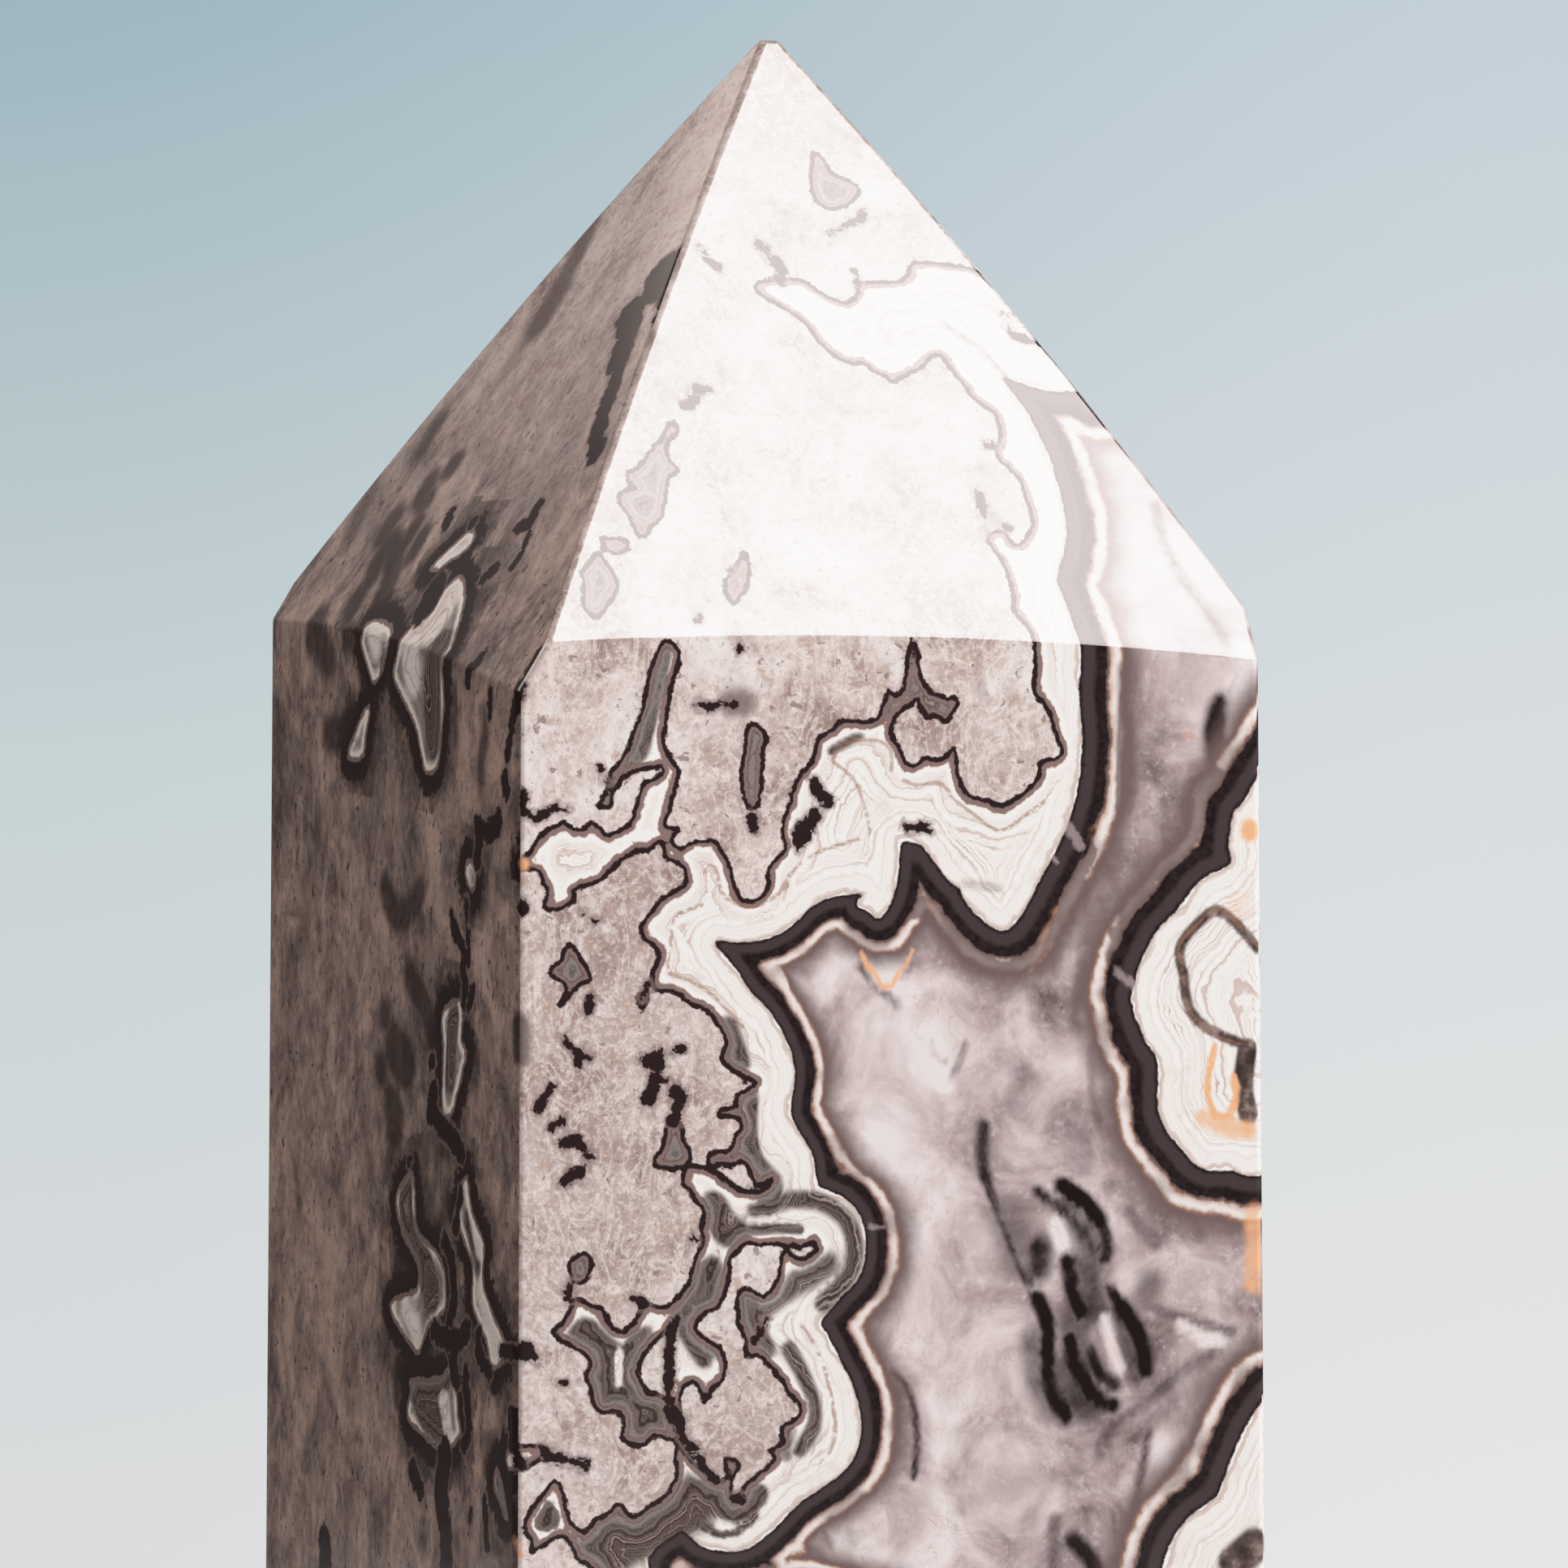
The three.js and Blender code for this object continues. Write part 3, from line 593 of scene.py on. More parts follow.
def rounded_line(points):
    """The same for a line with two ends."""
    if len(points) < 3:
        return points
    stretched = np.concatenate([2 * points[:1] - points[1:2], points, 2 * points[-1:] - points[-2:-1]])
    middles = (9 * (points[1:] + points[:-1]) - stretched[:-3] - stretched[3:]) / 16
    return np.concatenate([np.stack([points[:-1], middles], axis=1).reshape(-1, 2), points[-1:]])


def distances(points, starts, ends):
    """How far each point is from the nearest of some straight runs."""
    runs = ends - starts
    lengths = np.maximum((runs ** 2).sum(axis=1), 1e-9)
    nearest = np.empty(len(points), np.float32)
    for first in range(0, len(points), BLOCK):
        x = points[first:first + BLOCK, :1] - starts[:, 0]
        y = points[first:first + BLOCK, 1:] - starts[:, 1]
        along = np.clip((x * runs[:, 0] + y * runs[:, 1]) / lengths, 0, 1)
        gaps = (x - along * runs[:, 0]) ** 2 + (y - along * runs[:, 1]) ** 2
        nearest[first:first + BLOCK] = gaps.min(axis=1)
    return np.sqrt(nearest)


def inside(points, starts, ends):
    """Which points a closed outline holds."""
    held = np.empty(len(points), bool)
    slopes = (ends[:, 0] - starts[:, 0]) / np.where(ends[:, 1] == starts[:, 1], 1, ends[:, 1] - starts[:, 1])
    for first in range(0, len(points), BLOCK):
        x, y = points[first:first + BLOCK, :1], points[first:first + BLOCK, 1:]
        spans = (starts[:, 1] > y) != (ends[:, 1] > y)
        left_of = x < starts[:, 0] + (y - starts[:, 1]) * slopes
        held[first:first + BLOCK] = (spans & left_of).sum(axis=1) % 2 == 1
    return held


def depth_in(points, outline):
    """Distance to a closed outline, positive inside it."""
    starts, ends = outline.astype(np.float32), np.roll(outline, -1, 0).astype(np.float32)
    return distances(points, starts, ends) * np.where(inside(points, starts, ends), 1, -1)


def beside(points, line, reach=NEAR):
    """Which points are close enough to a small mark for it to matter to them."""
    low, high = line.min(axis=0) - reach, line.max(axis=0) + reach
    return np.flatnonzero(((points > low) & (points < high)).all(axis=1))


def painted_shade_sides(points):
    """1 on the left side and half as much on the back, where the matrix is darker and browner as painted shade, and its
    lines are broader.
    It fades towards the point."""
    side = np.where(points[:, 0] < -SIDE_WIDTH / 2, 1.0, np.where(points[:, 0] > 1.5 * SIDE_WIDTH, 0.5, 0.0))
    return side * (1 - 0.75 * np.clip((points[:, 1] - SIDE_HEIGHT - 3) / 16, 0, 1))


class Markings:
    """Every outline and stroke, laid out in the net."""

    def __init__(self, net):
        def front(pixels):
            return net.from_photo("front", pixels)

        def left(pixels):
            return net.from_photo("left", pixels)

        def on_front(shapes):
            drawn = [front(shape) for shape in shapes]
            return drawn + [HALF_TURN - shape for shape in drawn]

        def on_left(shapes):
            drawn = [left(shape) for shape in shapes]
            flipped = [np.array([LEFT_SHIFT, SIDE_HEIGHT]) - shape for shape in drawn]
            return drawn + flipped + [shape * BACK_STRETCH + BACK_SHIFT for shape in drawn + flipped]

        vein_edge = front(VEIN_UPPER + VEIN_LOWER + VEIN_BELOW)
        front_edge = front(FRONT_UPPER + FRONT_LOWER + FRONT_BELOW)
        self.veined = rounded(np.concatenate([front(VEIN_ON_TIP), vein_edge, HALF_TURN - vein_edge]))
        self.quartz = rounded(np.concatenate([front(FRONT_ON_TIP), front_edge, HALF_TURN - front_edge]))
        self.islands = [rounded(shape) for shape in on_front(ISLANDS)]
        self.rings = [rounded(shape) for shape in on_front([RING_UPPER, RING_LOWER])]
        self.grey_hollows = [rounded(shape) for shape in on_front(HOLLOWS)]
        self.hollows = [rounded(shape) for shape in on_left(HOLLOWS_ON_LEFT)]
        self.threads = [rounded_line(line) for line in on_front(THREADS)]

        def strokes(front_rows, left_rows, numbers):
            """Strokes as their leading numbers, with the width in millimetres, and their points."""
            laid = []
            for rows, lay, scale in ((front_rows, on_front, 31.0), (left_rows, on_left, 14.0)):
                for row in rows:
                    for shape in lay([row[numbers:]]):
                        laid.append((row[0] / scale, *row[1:numbers], rounded_line(shape)))
            return laid

        self.darks = strokes(DARK_STROKES, DARK_STROKES_ON_LEFT, 1)
        self.stains = strokes(STAINS, STAINS_ON_LEFT, 2)
        self.rust = strokes(RUST, [], 2)
        self.clouds = strokes(CLOUDS, [], 2)
        self.pale = strokes(PALE_PATCHES, PALE_ON_LEFT, 2)
        self.faults = strokes(FAULTS, [], 2)
        self.fills = strokes(FILLS, [], 2)

    def at(self, points):
        """For points of the net: distances into the vein, the quartz, dark strokes and threads, then the
        strength of stains, rust, clouds and pale patches."""
        points = points.astype(np.float32)
        vein = depth_in(points, self.veined)
        for island in self.islands:
            near = beside(points, island, WIDE)
            vein[near] = np.minimum(vein[near], -depth_in(points[near], island))
        band = depth_in(points, self.quartz)
        for ring in self.rings:
            band = np.minimum(band, -depth_in(points, ring))
        for hollow in self.hollows + self.grey_hollows:
            near = beside(points, hollow)
            vein[near] = np.maximum(vein[near], depth_in(points[near], hollow))
        vein = np.where((vein < 0) & (painted_shade_sides(points) > 0), vein / DIM_SPREAD, vein)
        blurred = np.clip((points[:, 0] - BLUR_FROM) / BLUR_OVER, 0, 1)
        band = np.where(band > 0, band / (1 + BLUR_WIDENS * blurred), band)
        ink, thread = np.full(len(points), FAR), np.full(len(points), FAR)
        for width, line in self.darks:
            near, gaps = self.gaps(points, line, NEAR)
            ink[near] = np.maximum(ink[near], width - gaps)
        for line in self.threads:
            near, gaps = self.gaps(points, line, NEAR)
            thread[near] = np.maximum(thread[near], -gaps)
        kinds = (self.stains, self.rust, self.clouds, self.pale, self.faults)
        soft = [self.strengths(points, strokes) for strokes in kinds]
        for hollow in self.grey_hollows:
            near = beside(points, hollow)
            soft[0][near] = np.maximum(soft[0][near], GREY * np.clip(depth_in(points[near], hollow) / GREY_FROM, 0, 1))
        for hollow in self.hollows:
            near = beside(points, hollow)
            filled = np.clip((depth_in(points[near], hollow) - DIM_GREY_AT) / DIM_GREY_AT, 0, 1)
            soft[0][near] = np.maximum(soft[0][near], DIM_GREYNESS * filled)
        soft[0] = np.maximum(soft[0], self.strengths(points, self.fills) * (vein > 0)) * (1 - soft[3])
        return np.column_stack([vein, band, ink, thread, *soft]).astype(np.float32)

    @staticmethod
    def gaps(points, line, reach):
        """Which points a stroke reaches, and how far they are from its middle line."""
        near = beside(points, line, reach)
        line = line.astype(np.float32)
        ends = line[1:] if len(line) > 1 else line
        starts = line[:-1] if len(line) > 1 else line
        return near, distances(points[near], starts, ends)

    def strengths(self, points, strokes):
        """How strongly the soft strokes colour each point."""
        values = np.zeros(len(points))
        for width, depth, line in strokes:
            near, gaps = self.gaps(points, line, SOFT_EDGE * width)
            values[near] = np.maximum(values[near], depth * np.clip((SOFT_EDGE - gaps / width) / SOFT_FADE, 0, 1))
        return values


class Skin:
    """The stone's surface, as triangles that are halved until they can carry the markings."""

    def __init__(self, places, triangles):
        self.net = Net(places, triangles)
        self.markings = Markings(self.net)
        self.names = sorted(set(self.net.group_of_triangles()))
        self.groups = np.searchsorted(self.names, list(self.net.group_of_triangles()))
        self.places, self.triangles = places, triangles
        self.normals = self.corner_normals()
        self.known = np.empty(0, int)
        self.flat = np.empty((0, 2))
        self.values = np.empty((0, 9), np.float32)
        self.measure()

    def corner_normals(self):
        """Normals that keep the flats flat, because large triangles outweigh the worn edges' small ones."""
        normals = np.zeros_like(self.places)
        weighted = self.net.normals * self.net.areas[:, None] ** 3
        for corner in range(3):
            np.add.at(normals, self.triangles[:, corner], weighted)
        return normals / np.linalg.norm(normals, axis=1)[:, None]

    def keys(self):
        """A number for each corner's vertex and face, because one vertex lies at two places of the net where
        two faces meet."""
        return self.triangles * len(self.names) + self.groups[:, None]

    def measure(self):
        """Measures the markings at the corners that are new."""
        fresh = np.setdiff1d(self.keys(), self.known)
        vertices, groups = np.divmod(fresh, len(self.names))
        flat = np.empty((len(fresh), 2))
        for index, name in enumerate(self.names):
            chosen = groups == index
            flat[chosen] = self.net.place(name, self.places[vertices[chosen]])
        known = np.concatenate([self.known, fresh])
        order = np.argsort(known)
        self.known = known[order]
        self.flat = np.concatenate([self.flat, flat])[order]
        self.values = np.concatenate([self.values, self.markings.at(flat)])[order]

    def corners(self, values):
        return values[np.searchsorted(self.known, self.keys())]

    def longest_allowed(self):
        """The longest edge that each triangle may have."""
        marks = np.abs(self.corners(self.values))
        gaps = marks[:, :, :4].min(axis=(1, 2))
        gaps = np.where((marks[:, :, 4:6] > 0.02).any(axis=(1, 2)), np.minimum(gaps, 0.3), gaps)
        fading = np.ptp(marks[:, :, 4:6], axis=1).max(axis=1) > 0.12
        gaps = np.where(fading, np.minimum(gaps, 0.1), gaps)
        flat = self.corners(self.flat).mean(axis=1)
        in_view = (flat[:, 1] > 34) & (flat[:, 0] < 16)
        sharp = in_view & (flat[:, 0] > -15.5) & (flat[:, 1] < 72)
        finest = np.where(sharp, FINEST_SHARP, np.where(in_view, FINEST_IN_VIEW, FINEST_HIDDEN))
        return np.minimum(finest + GROWTH * gaps, COARSEST)

    def halve(self):
        """Halves every triangle that is too long, and those beside it that have to follow."""
        ends = self.places[self.triangles]
        lengths = np.linalg.norm(ends - np.roll(ends, -1, 1), axis=2)
        first = lengths.argmax(axis=1)
        rows = np.arange(len(first))
        self.triangles = self.triangles[rows[:, None], (first[:, None] + [0, 1, 2]) % 3]
        too_long = lengths[rows, first] > self.longest_allowed()
        if not too_long.any():
            return False
        pairs = np.sort(np.stack([self.triangles, np.roll(self.triangles, -1, 1)], axis=2), axis=2)
        edges, ids = np.unique(pairs[:, :, 0] * len(self.places) + pairs[:, :, 1], return_inverse=True)
        ids = ids.reshape(-1, 3)
        cut = np.zeros(len(edges), bool)
        cut[ids[too_long, 0]] = True
        while True:
            follows = cut[ids].any(axis=1) & ~cut[ids[:, 0]]
            if not follows.any():
                break
            cut[ids[follows, 0]] = True
        self.split(np.divmod(edges[cut], len(self.places)), np.where(cut, np.cumsum(cut) - 1, -1)[ids])
        return True

    def split(self, cut_ends, middles):
        """Puts the triangles of the next round in place, with a vertex at the middle of each cut edge."""
        count = len(self.places)
        one, other = cut_ends
        self.places = np.concatenate([self.places, (self.places[one] + self.places[other]) / 2])
        normals = self.normals[one] + self.normals[other]
        normals /= np.linalg.norm(normals, axis=1)[:, None]
        self.normals = np.concatenate([self.normals, normals])
        a, b, c = self.triangles.T
        long, second, third = (middles + count).T
        whole = middles[:, 0] < 0
        has_second, has_third = middles[:, 1] >= 0, middles[:, 2] >= 0
        pieces = [
            (whole, (a, b, c)),
            (~whole & ~has_third, (a, long, c)),
            (has_third, (a, long, third)),
            (has_third, (long, c, third)),
            (~whole & ~has_second, (long, b, c)),
            (has_second, (long, b, second)),
            (has_second, (long, second, c)),
        ]
        self.triangles = np.concatenate([np.column_stack(corners)[chosen] for chosen, corners in pieces])
        self.groups = np.concatenate([self.groups[chosen] for chosen, _ in pieces])
        self.measure()


def merged_mesh(node):
    """The CAD node's vertices in millimetres, each once, and its triangles."""
    mesh = node.data
    mesh.calc_loop_triangles()
    places = np.empty(len(mesh.vertices) * 3)
    mesh.vertices.foreach_get("co", places)
    triangles = np.empty(len(mesh.loop_triangles) * 3, np.int32)
    mesh.loop_triangles.foreach_get("vertices", triangles)
    rounded_places = np.round(places.reshape(-1, 3) / MM, 4)
    places, same = np.unique(rounded_places, axis=0, return_inverse=True)
    return places, same.reshape(-1)[triangles].reshape(-1, 3)


def add_attribute(mesh, name, values):
    attribute = mesh.attributes.new(name, "FLOAT_VECTOR", "CORNER")
    attribute.data.foreach_set("vector", np.ascontiguousarray(values, np.float32).ravel())


def jasper_tower(node):
    """The polished stone, with the markings' distances on its mesh."""
    skin = Skin(*merged_mesh(node))
    for _ in range(ROUNDS):
        if not skin.halve():
            break
    mesh = bpy.data.meshes.new("jasper_tower")
    mesh.from_pydata((skin.places * MM).tolist(), [], skin.triangles.tolist())
    values = skin.corners(skin.values).reshape(-1, 9)
    # How strongly each corner carries the dim sides' painted shade and their broader lines
    dim = painted_shade_sides(skin.corners(skin.flat).reshape(-1, 2))
    add_attribute(mesh, "marks", values[:, [0, 1, 2]])
    add_attribute(mesh, "tints", values[:, [3, 4, 5]])
    add_attribute(mesh, "shades", np.column_stack([values[:, [6, 7]], dim]))
    add_attribute(mesh, "faults", values[:, [8, 8, 8]])
    mesh.polygons.foreach_set("use_smooth", [True] * len(mesh.polygons))
    mesh.normals_split_custom_set_from_vertices(skin.normals.tolist())
    tower = bpy.data.objects.new("jasper_tower", mesh)
    bpy.context.collection.objects.link(tower)
    return tower


def shade(red, green, blue):
    """A colour as the screen shows it, turned into light."""
    values = [channel / 255 for channel in (red, green, blue)]
    return [v / 12.92 if v <= 0.04045 else ((v + 0.055) / 1.055) ** 2.4 for v in values] + [1]


class Weave:
    """Short ways to put nodes together."""

    def __init__(self, tree):
        self.tree = tree
        tree.nodes.clear()

    def node(self, kind, inputs=(), **settings):
        made = self.tree.nodes.new(kind)
        for name, value in settings.items():
            setattr(made, name, value)
        for name, value in dict(inputs).items():
            self.put(made.inputs[name], value)
        return made

    def put(self, socket, value):
        if isinstance(value, bpy.types.NodeSocket):
            self.tree.links.new(value, socket)
        else:
            socket.default_value = value

    def sum(self, a, b, operation="ADD"):
        return self.node("ShaderNodeMath", {0: a, 1: b}, operation=operation).outputs[0]

    def times(self, a, b):
        return self.sum(a, b, "MULTIPLY")

    def noise(self, place, scale, detail=3.0, roughness=0.55, distortion=0.0):
        inputs = {"Vector": place, "Scale": scale, "Detail": detail, "Roughness": roughness}
        inputs["Distortion"] = distortion
        return self.node("ShaderNodeTexNoise", inputs).outputs["Fac"]

    def stretched(self, place, x, y, z):
        return self.node("ShaderNodeVectorMath", {0: place, 1: (x, y, z)}, operation="MULTIPLY").outputs[0]

    def between(self, value, low, high):
        """0 below the low value, 1 above the high one, and soft between them."""
        inputs = {"Value": value, "From Min": low, "From Max": high}
        return self.node("ShaderNodeMapRange", inputs, interpolation_type="SMOOTHSTEP").outputs[0]

    def mix(self, factor, a, b, blend="MIX"):
        made = self.node("ShaderNodeMix", data_type="RGBA", blend_type=blend)
        for index, value in ((0, factor), (6, a), (7, b)):
            self.put(made.inputs[index], value)
        return made.outputs[2]

    def ramp(self, value, stops, low=0.0, high=1.0):
        """Colours by a value, with the stops in that value's own unit."""
        scaled = self.times(self.sum(value, -low), 1 / (high - low))
        made = self.node("ShaderNodeValToRGB", {0: scaled})
        elements = made.color_ramp.elements
        while len(elements) < len(stops):
            elements.new(0.5)
        for element, (place, colour) in zip(elements, stops):
            element.position = (place - low) / (high - low)
            element.color = colour
        return made.outputs[0]


STONE_DEEP = shade(150, 127, 119)
STONE_GREY = shade(196, 177, 171)
STONE_PALE = shade(221, 207, 203)
STONE_WHITE = shade(238, 228, 224)
STONE_TAN = shade(184, 160, 147)
# Darker streaky browns for the dim sides: painted shade laid over the matrix's streaks
SHADE_AND_STREAK_DEEP = shade(100, 88, 87)
SHADE_AND_STREAK_GREY = shade(150, 134, 129)
SHADE_AND_STREAK_PALE = shade(200, 178, 165)
WHITE = shade(246, 239, 235)
CREAM = shade(236, 224, 219)
TAN = shade(205, 187, 180)
FILL_DARK = shade(58, 47, 45)
FILL = shade(94, 79, 75)
FILL_PALE = shade(154, 137, 131)
LINE = shade(44, 31, 31)
LINE_SIDE = shade(134, 114, 112)
BROWN = shade(150, 113, 92)
RUSTY = shade(176, 124, 92)
ORANGE = shade(240, 178, 134)
BLACK = shade(30, 20, 21)
FIBRE = shade(70, 58, 60)
SMOKE = shade(112, 94, 92)
QUARTZ_DARK = shade(112, 95, 95)
QUARTZ_GREY = shade(180, 162, 162)
QUARTZ = shade(208, 193, 192)
QUARTZ_PALE = shade(230, 219, 218)
STAIN = shade(50, 38, 39)
SMUDGE = shade(84, 71, 73)
NONE = [0, 0, 0, 1]
FULL = [1, 1, 1, 1]


def ridge(weave, value, middle, width):
    """1 along the middle value of a noise and 0 away from it."""
    return weave.ramp(value, [(middle - width, NONE), (middle, FULL), (middle + width, NONE)])


def matrix_colour(weave, place, cloud, dim):
    """Mottled grey-brown stone with pale wavy streaks and fine specks; on the dim sides streaked, and darker and
    browner as painted shade.
    """
    slow = weave.noise(place, 0.3, 6, 0.68, 0.5)
    colour = weave.ramp(slow, [(0.34, STONE_DEEP), (0.46, STONE_GREY), (0.58, STONE_PALE), (0.7, STONE_WHITE)])
    colour = weave.mix(weave.times(cloud, 0.6), colour, STONE_DEEP)
    wavy = weave.noise(weave.stretched(place, 1, 1, 0.6), 0.7, 5, 0.6, 1.6)
    colour = weave.mix(weave.times(ridge(weave, wavy, 0.5, 0.05), 0.5), colour, STONE_WHITE)
    grain = weave.noise(place, 2.2, 5, 0.75)
    colour = weave.mix(weave.times(weave.between(grain, 0.53, 0.68), 0.6), colour, STONE_WHITE)
    colour = weave.mix(weave.times(weave.between(grain, 0.46, 0.33), 0.55), colour, STONE_DEEP)
    tan = weave.between(weave.noise(place, 0.95, 2, 0.5, 0.6), 0.62, 0.68)
    colour = weave.mix(weave.times(tan, 0.7), colour, STONE_TAN)
    flecks = weave.between(weave.noise(place, 4.5, 4, 0.7, 0.4), 0.5, 0.62)
    colour = weave.mix(weave.times(flecks, 0.45), colour, STONE_WHITE)
    pits = weave.between(weave.noise(place, 3.6, 4, 0.65, 0.4), 0.6, 0.68)
    colour = weave.mix(weave.times(pits, 0.45), colour, LINE_SIDE)
    specks = weave.between(weave.noise(place, 2.3, 3, 0.6, 0.5), 0.64, 0.69)
    colour = weave.mix(weave.times(specks, 0.75), colour, LINE_SIDE)
    # Painted shade: on the dim sides the matrix is darkened and browned, with darker streaks and blotches over it
    streaks = weave.noise(weave.stretched(place, 1.4, 1.4, 1.1), 0.9, 6, 0.75, 0.8)
    blotches = weave.noise(weave.stretched(place, 0.3, 0.3, 0.22), 1.0, 4, 0.6, 1.2)
    both = weave.sum(weave.times(streaks, 0.45), weave.times(blotches, 0.55))
    dark = weave.ramp(both, [(0.38, SHADE_AND_STREAK_DEEP), (0.48, SHADE_AND_STREAK_GREY), (0.6, SHADE_AND_STREAK_PALE)])
    colour = weave.mix(dim, colour, weave.mix(0.35, dark, weave.mix(1.0, colour, dark, "MULTIPLY")))
    dots = weave.between(weave.noise(weave.stretched(place, 1.6, 1.6, 1.0), 1.9, 3, 0.6, 0.6), 0.61, 0.68)
    return weave.mix(weave.times(weave.times(dots, dim), 0.8), colour, STAIN)


def layers_along(weave, distance, wobble, fineness):
    """Layers that follow an outline, as a noise of the distance to it."""
    inputs = {"W": weave.sum(distance, wobble), "Scale": fineness, "Detail": 3.0, "Roughness": 0.6}
    return weave.node("ShaderNodeTexNoise", inputs, noise_dimensions="1D").outputs["Fac"]


def vein_colour(weave, place, vein, band, stain, slow):
    """Cream layers that follow the nearer edge of the vein, with thin brown contours and grey fills."""
    wobble = weave.times(slow, 0.7)
    by_matrix = layers_along(weave, vein, wobble, 4.2)
    by_band = layers_along(weave, band, wobble, 4.2)
    nearer = weave.between(weave.sum(band, vein), -0.4, 0.4)
    layers = weave.mix(nearer, by_matrix, by_band)
    cream = weave.ramp(layers, [(0.36, TAN), (0.45, CREAM), (0.55, WHITE)])
    patch = weave.between(weave.noise(place, 0.45, 3), 0.48, 0.6)
    cream = weave.mix(weave.times(weave.times(ridge(weave, layers, 0.43, 0.02), patch), 0.75), cream, BROWN)
    clouded = weave.between(weave.noise(place, 0.8, 5, 0.65), 0.52, 0.72)
    cream = weave.mix(weave.times(clouded, 0.4), cream, TAN)
    fine_layers = layers_along(weave, vein, wobble, 8.0)
    fine_layers = weave.mix(weave.between(vein, 3.0, 4.5), fine_layers, weave.noise(place, 1.2, 4, 0.6))
    grey = weave.ramp(fine_layers, [(0.38, FILL_DARK), (0.52, FILL), (0.68, FILL_PALE)])
    return weave.mix(weave.between(stain, 0.1, 0.6), cream, grey), grey


def line_colour(weave, colour, vein, slow):
    """The dark outline where the vein meets the matrix, with its brown inner side."""
    swaying = weave.sum(vein, weave.times(slow, 0.25))
    side = weave.ramp(swaying, [(0.04, LINE), (0.1, LINE_SIDE), (0.2, LINE_SIDE), (0.24, BROWN), (0.3, WHITE)], -1, 1)
    colour = weave.mix(weave.between(swaying, 0.55, 0.28), colour, side)
    return weave.mix(weave.between(vein, 0.11, 0.05), colour, LINE)


def band_colour(weave, place, band, slow, quartz, cloud):
    """The dark band's layers, from the cream outwards into the quartz."""
    fibres = weave.between(weave.noise(place, 3.2, 4, 0.7), 0.3, 0.75)
    dark = weave.ramp(band, [(0.05, BLACK), (0.14, FIBRE), (0.36, FIBRE), (0.5, BLACK), (0.8, BLACK)])
    dark = weave.mix(weave.times(fibres, 0.4), dark, FIBRE)
    swaying = weave.sum(band, weave.times(slow, 0.35))
    smoke = weave.mix(weave.between(swaying, 1.2, 2.1), SMOKE, quartz)
    line = weave.ramp(swaying, [(0.82, RUSTY), (0.88, TAN), (0.98, CREAM), (1.06, CREAM), (1.12, TAN), (1.18, BROWN)],
                      0.6, 1.4)
    shown = weave.times(weave.between(swaying, 0.78, 0.86), weave.between(swaying, 1.26, 1.18))
    patch = weave.sum(weave.times(weave.between(weave.noise(place, 0.4, 2), 0.4, 0.55), 0.55), 0.4)
    patch = weave.times(patch, weave.sum(weave.times(weave.between(cloud, 0.65, 0.8), -0.85), 1.0))
    outer = weave.mix(weave.times(shown, patch), smoke, line)
    return weave.mix(weave.between(swaying, 0.72, 0.8), dark, outer)


def quartz_colour(weave, place, cloud, pale):
    """Cloudy grey quartz with white wisps and fine brown cracks."""
    clouds = weave.sum(weave.times(weave.sum(weave.noise(place, 0.3, 6, 0.6, 0.7), -0.5), 1.3), 0.5)
    clouds = weave.sum(clouds, weave.times(cloud, -0.26))
    clouds = weave.sum(clouds, weave.times(pale, 0.35))
    colour = weave.ramp(clouds, [(0.12, QUARTZ_DARK), (0.36, QUARTZ_GREY), (0.5, QUARTZ), (0.68, QUARTZ_PALE)])
    grain = weave.between(weave.noise(place, 2.4, 4, 0.7), 0.5, 0.7)
    colour = weave.mix(weave.times(grain, 0.35), colour, QUARTZ_PALE)
    cracks = weave.noise(place, 0.8, 4, 0.55, 1.6)
    patch = weave.between(weave.noise(place, 0.3, 2), 0.48, 0.6)
    return weave.mix(weave.times(weave.times(ridge(weave, cracks, 0.5, 0.012), patch), 0.4), colour, BROWN)


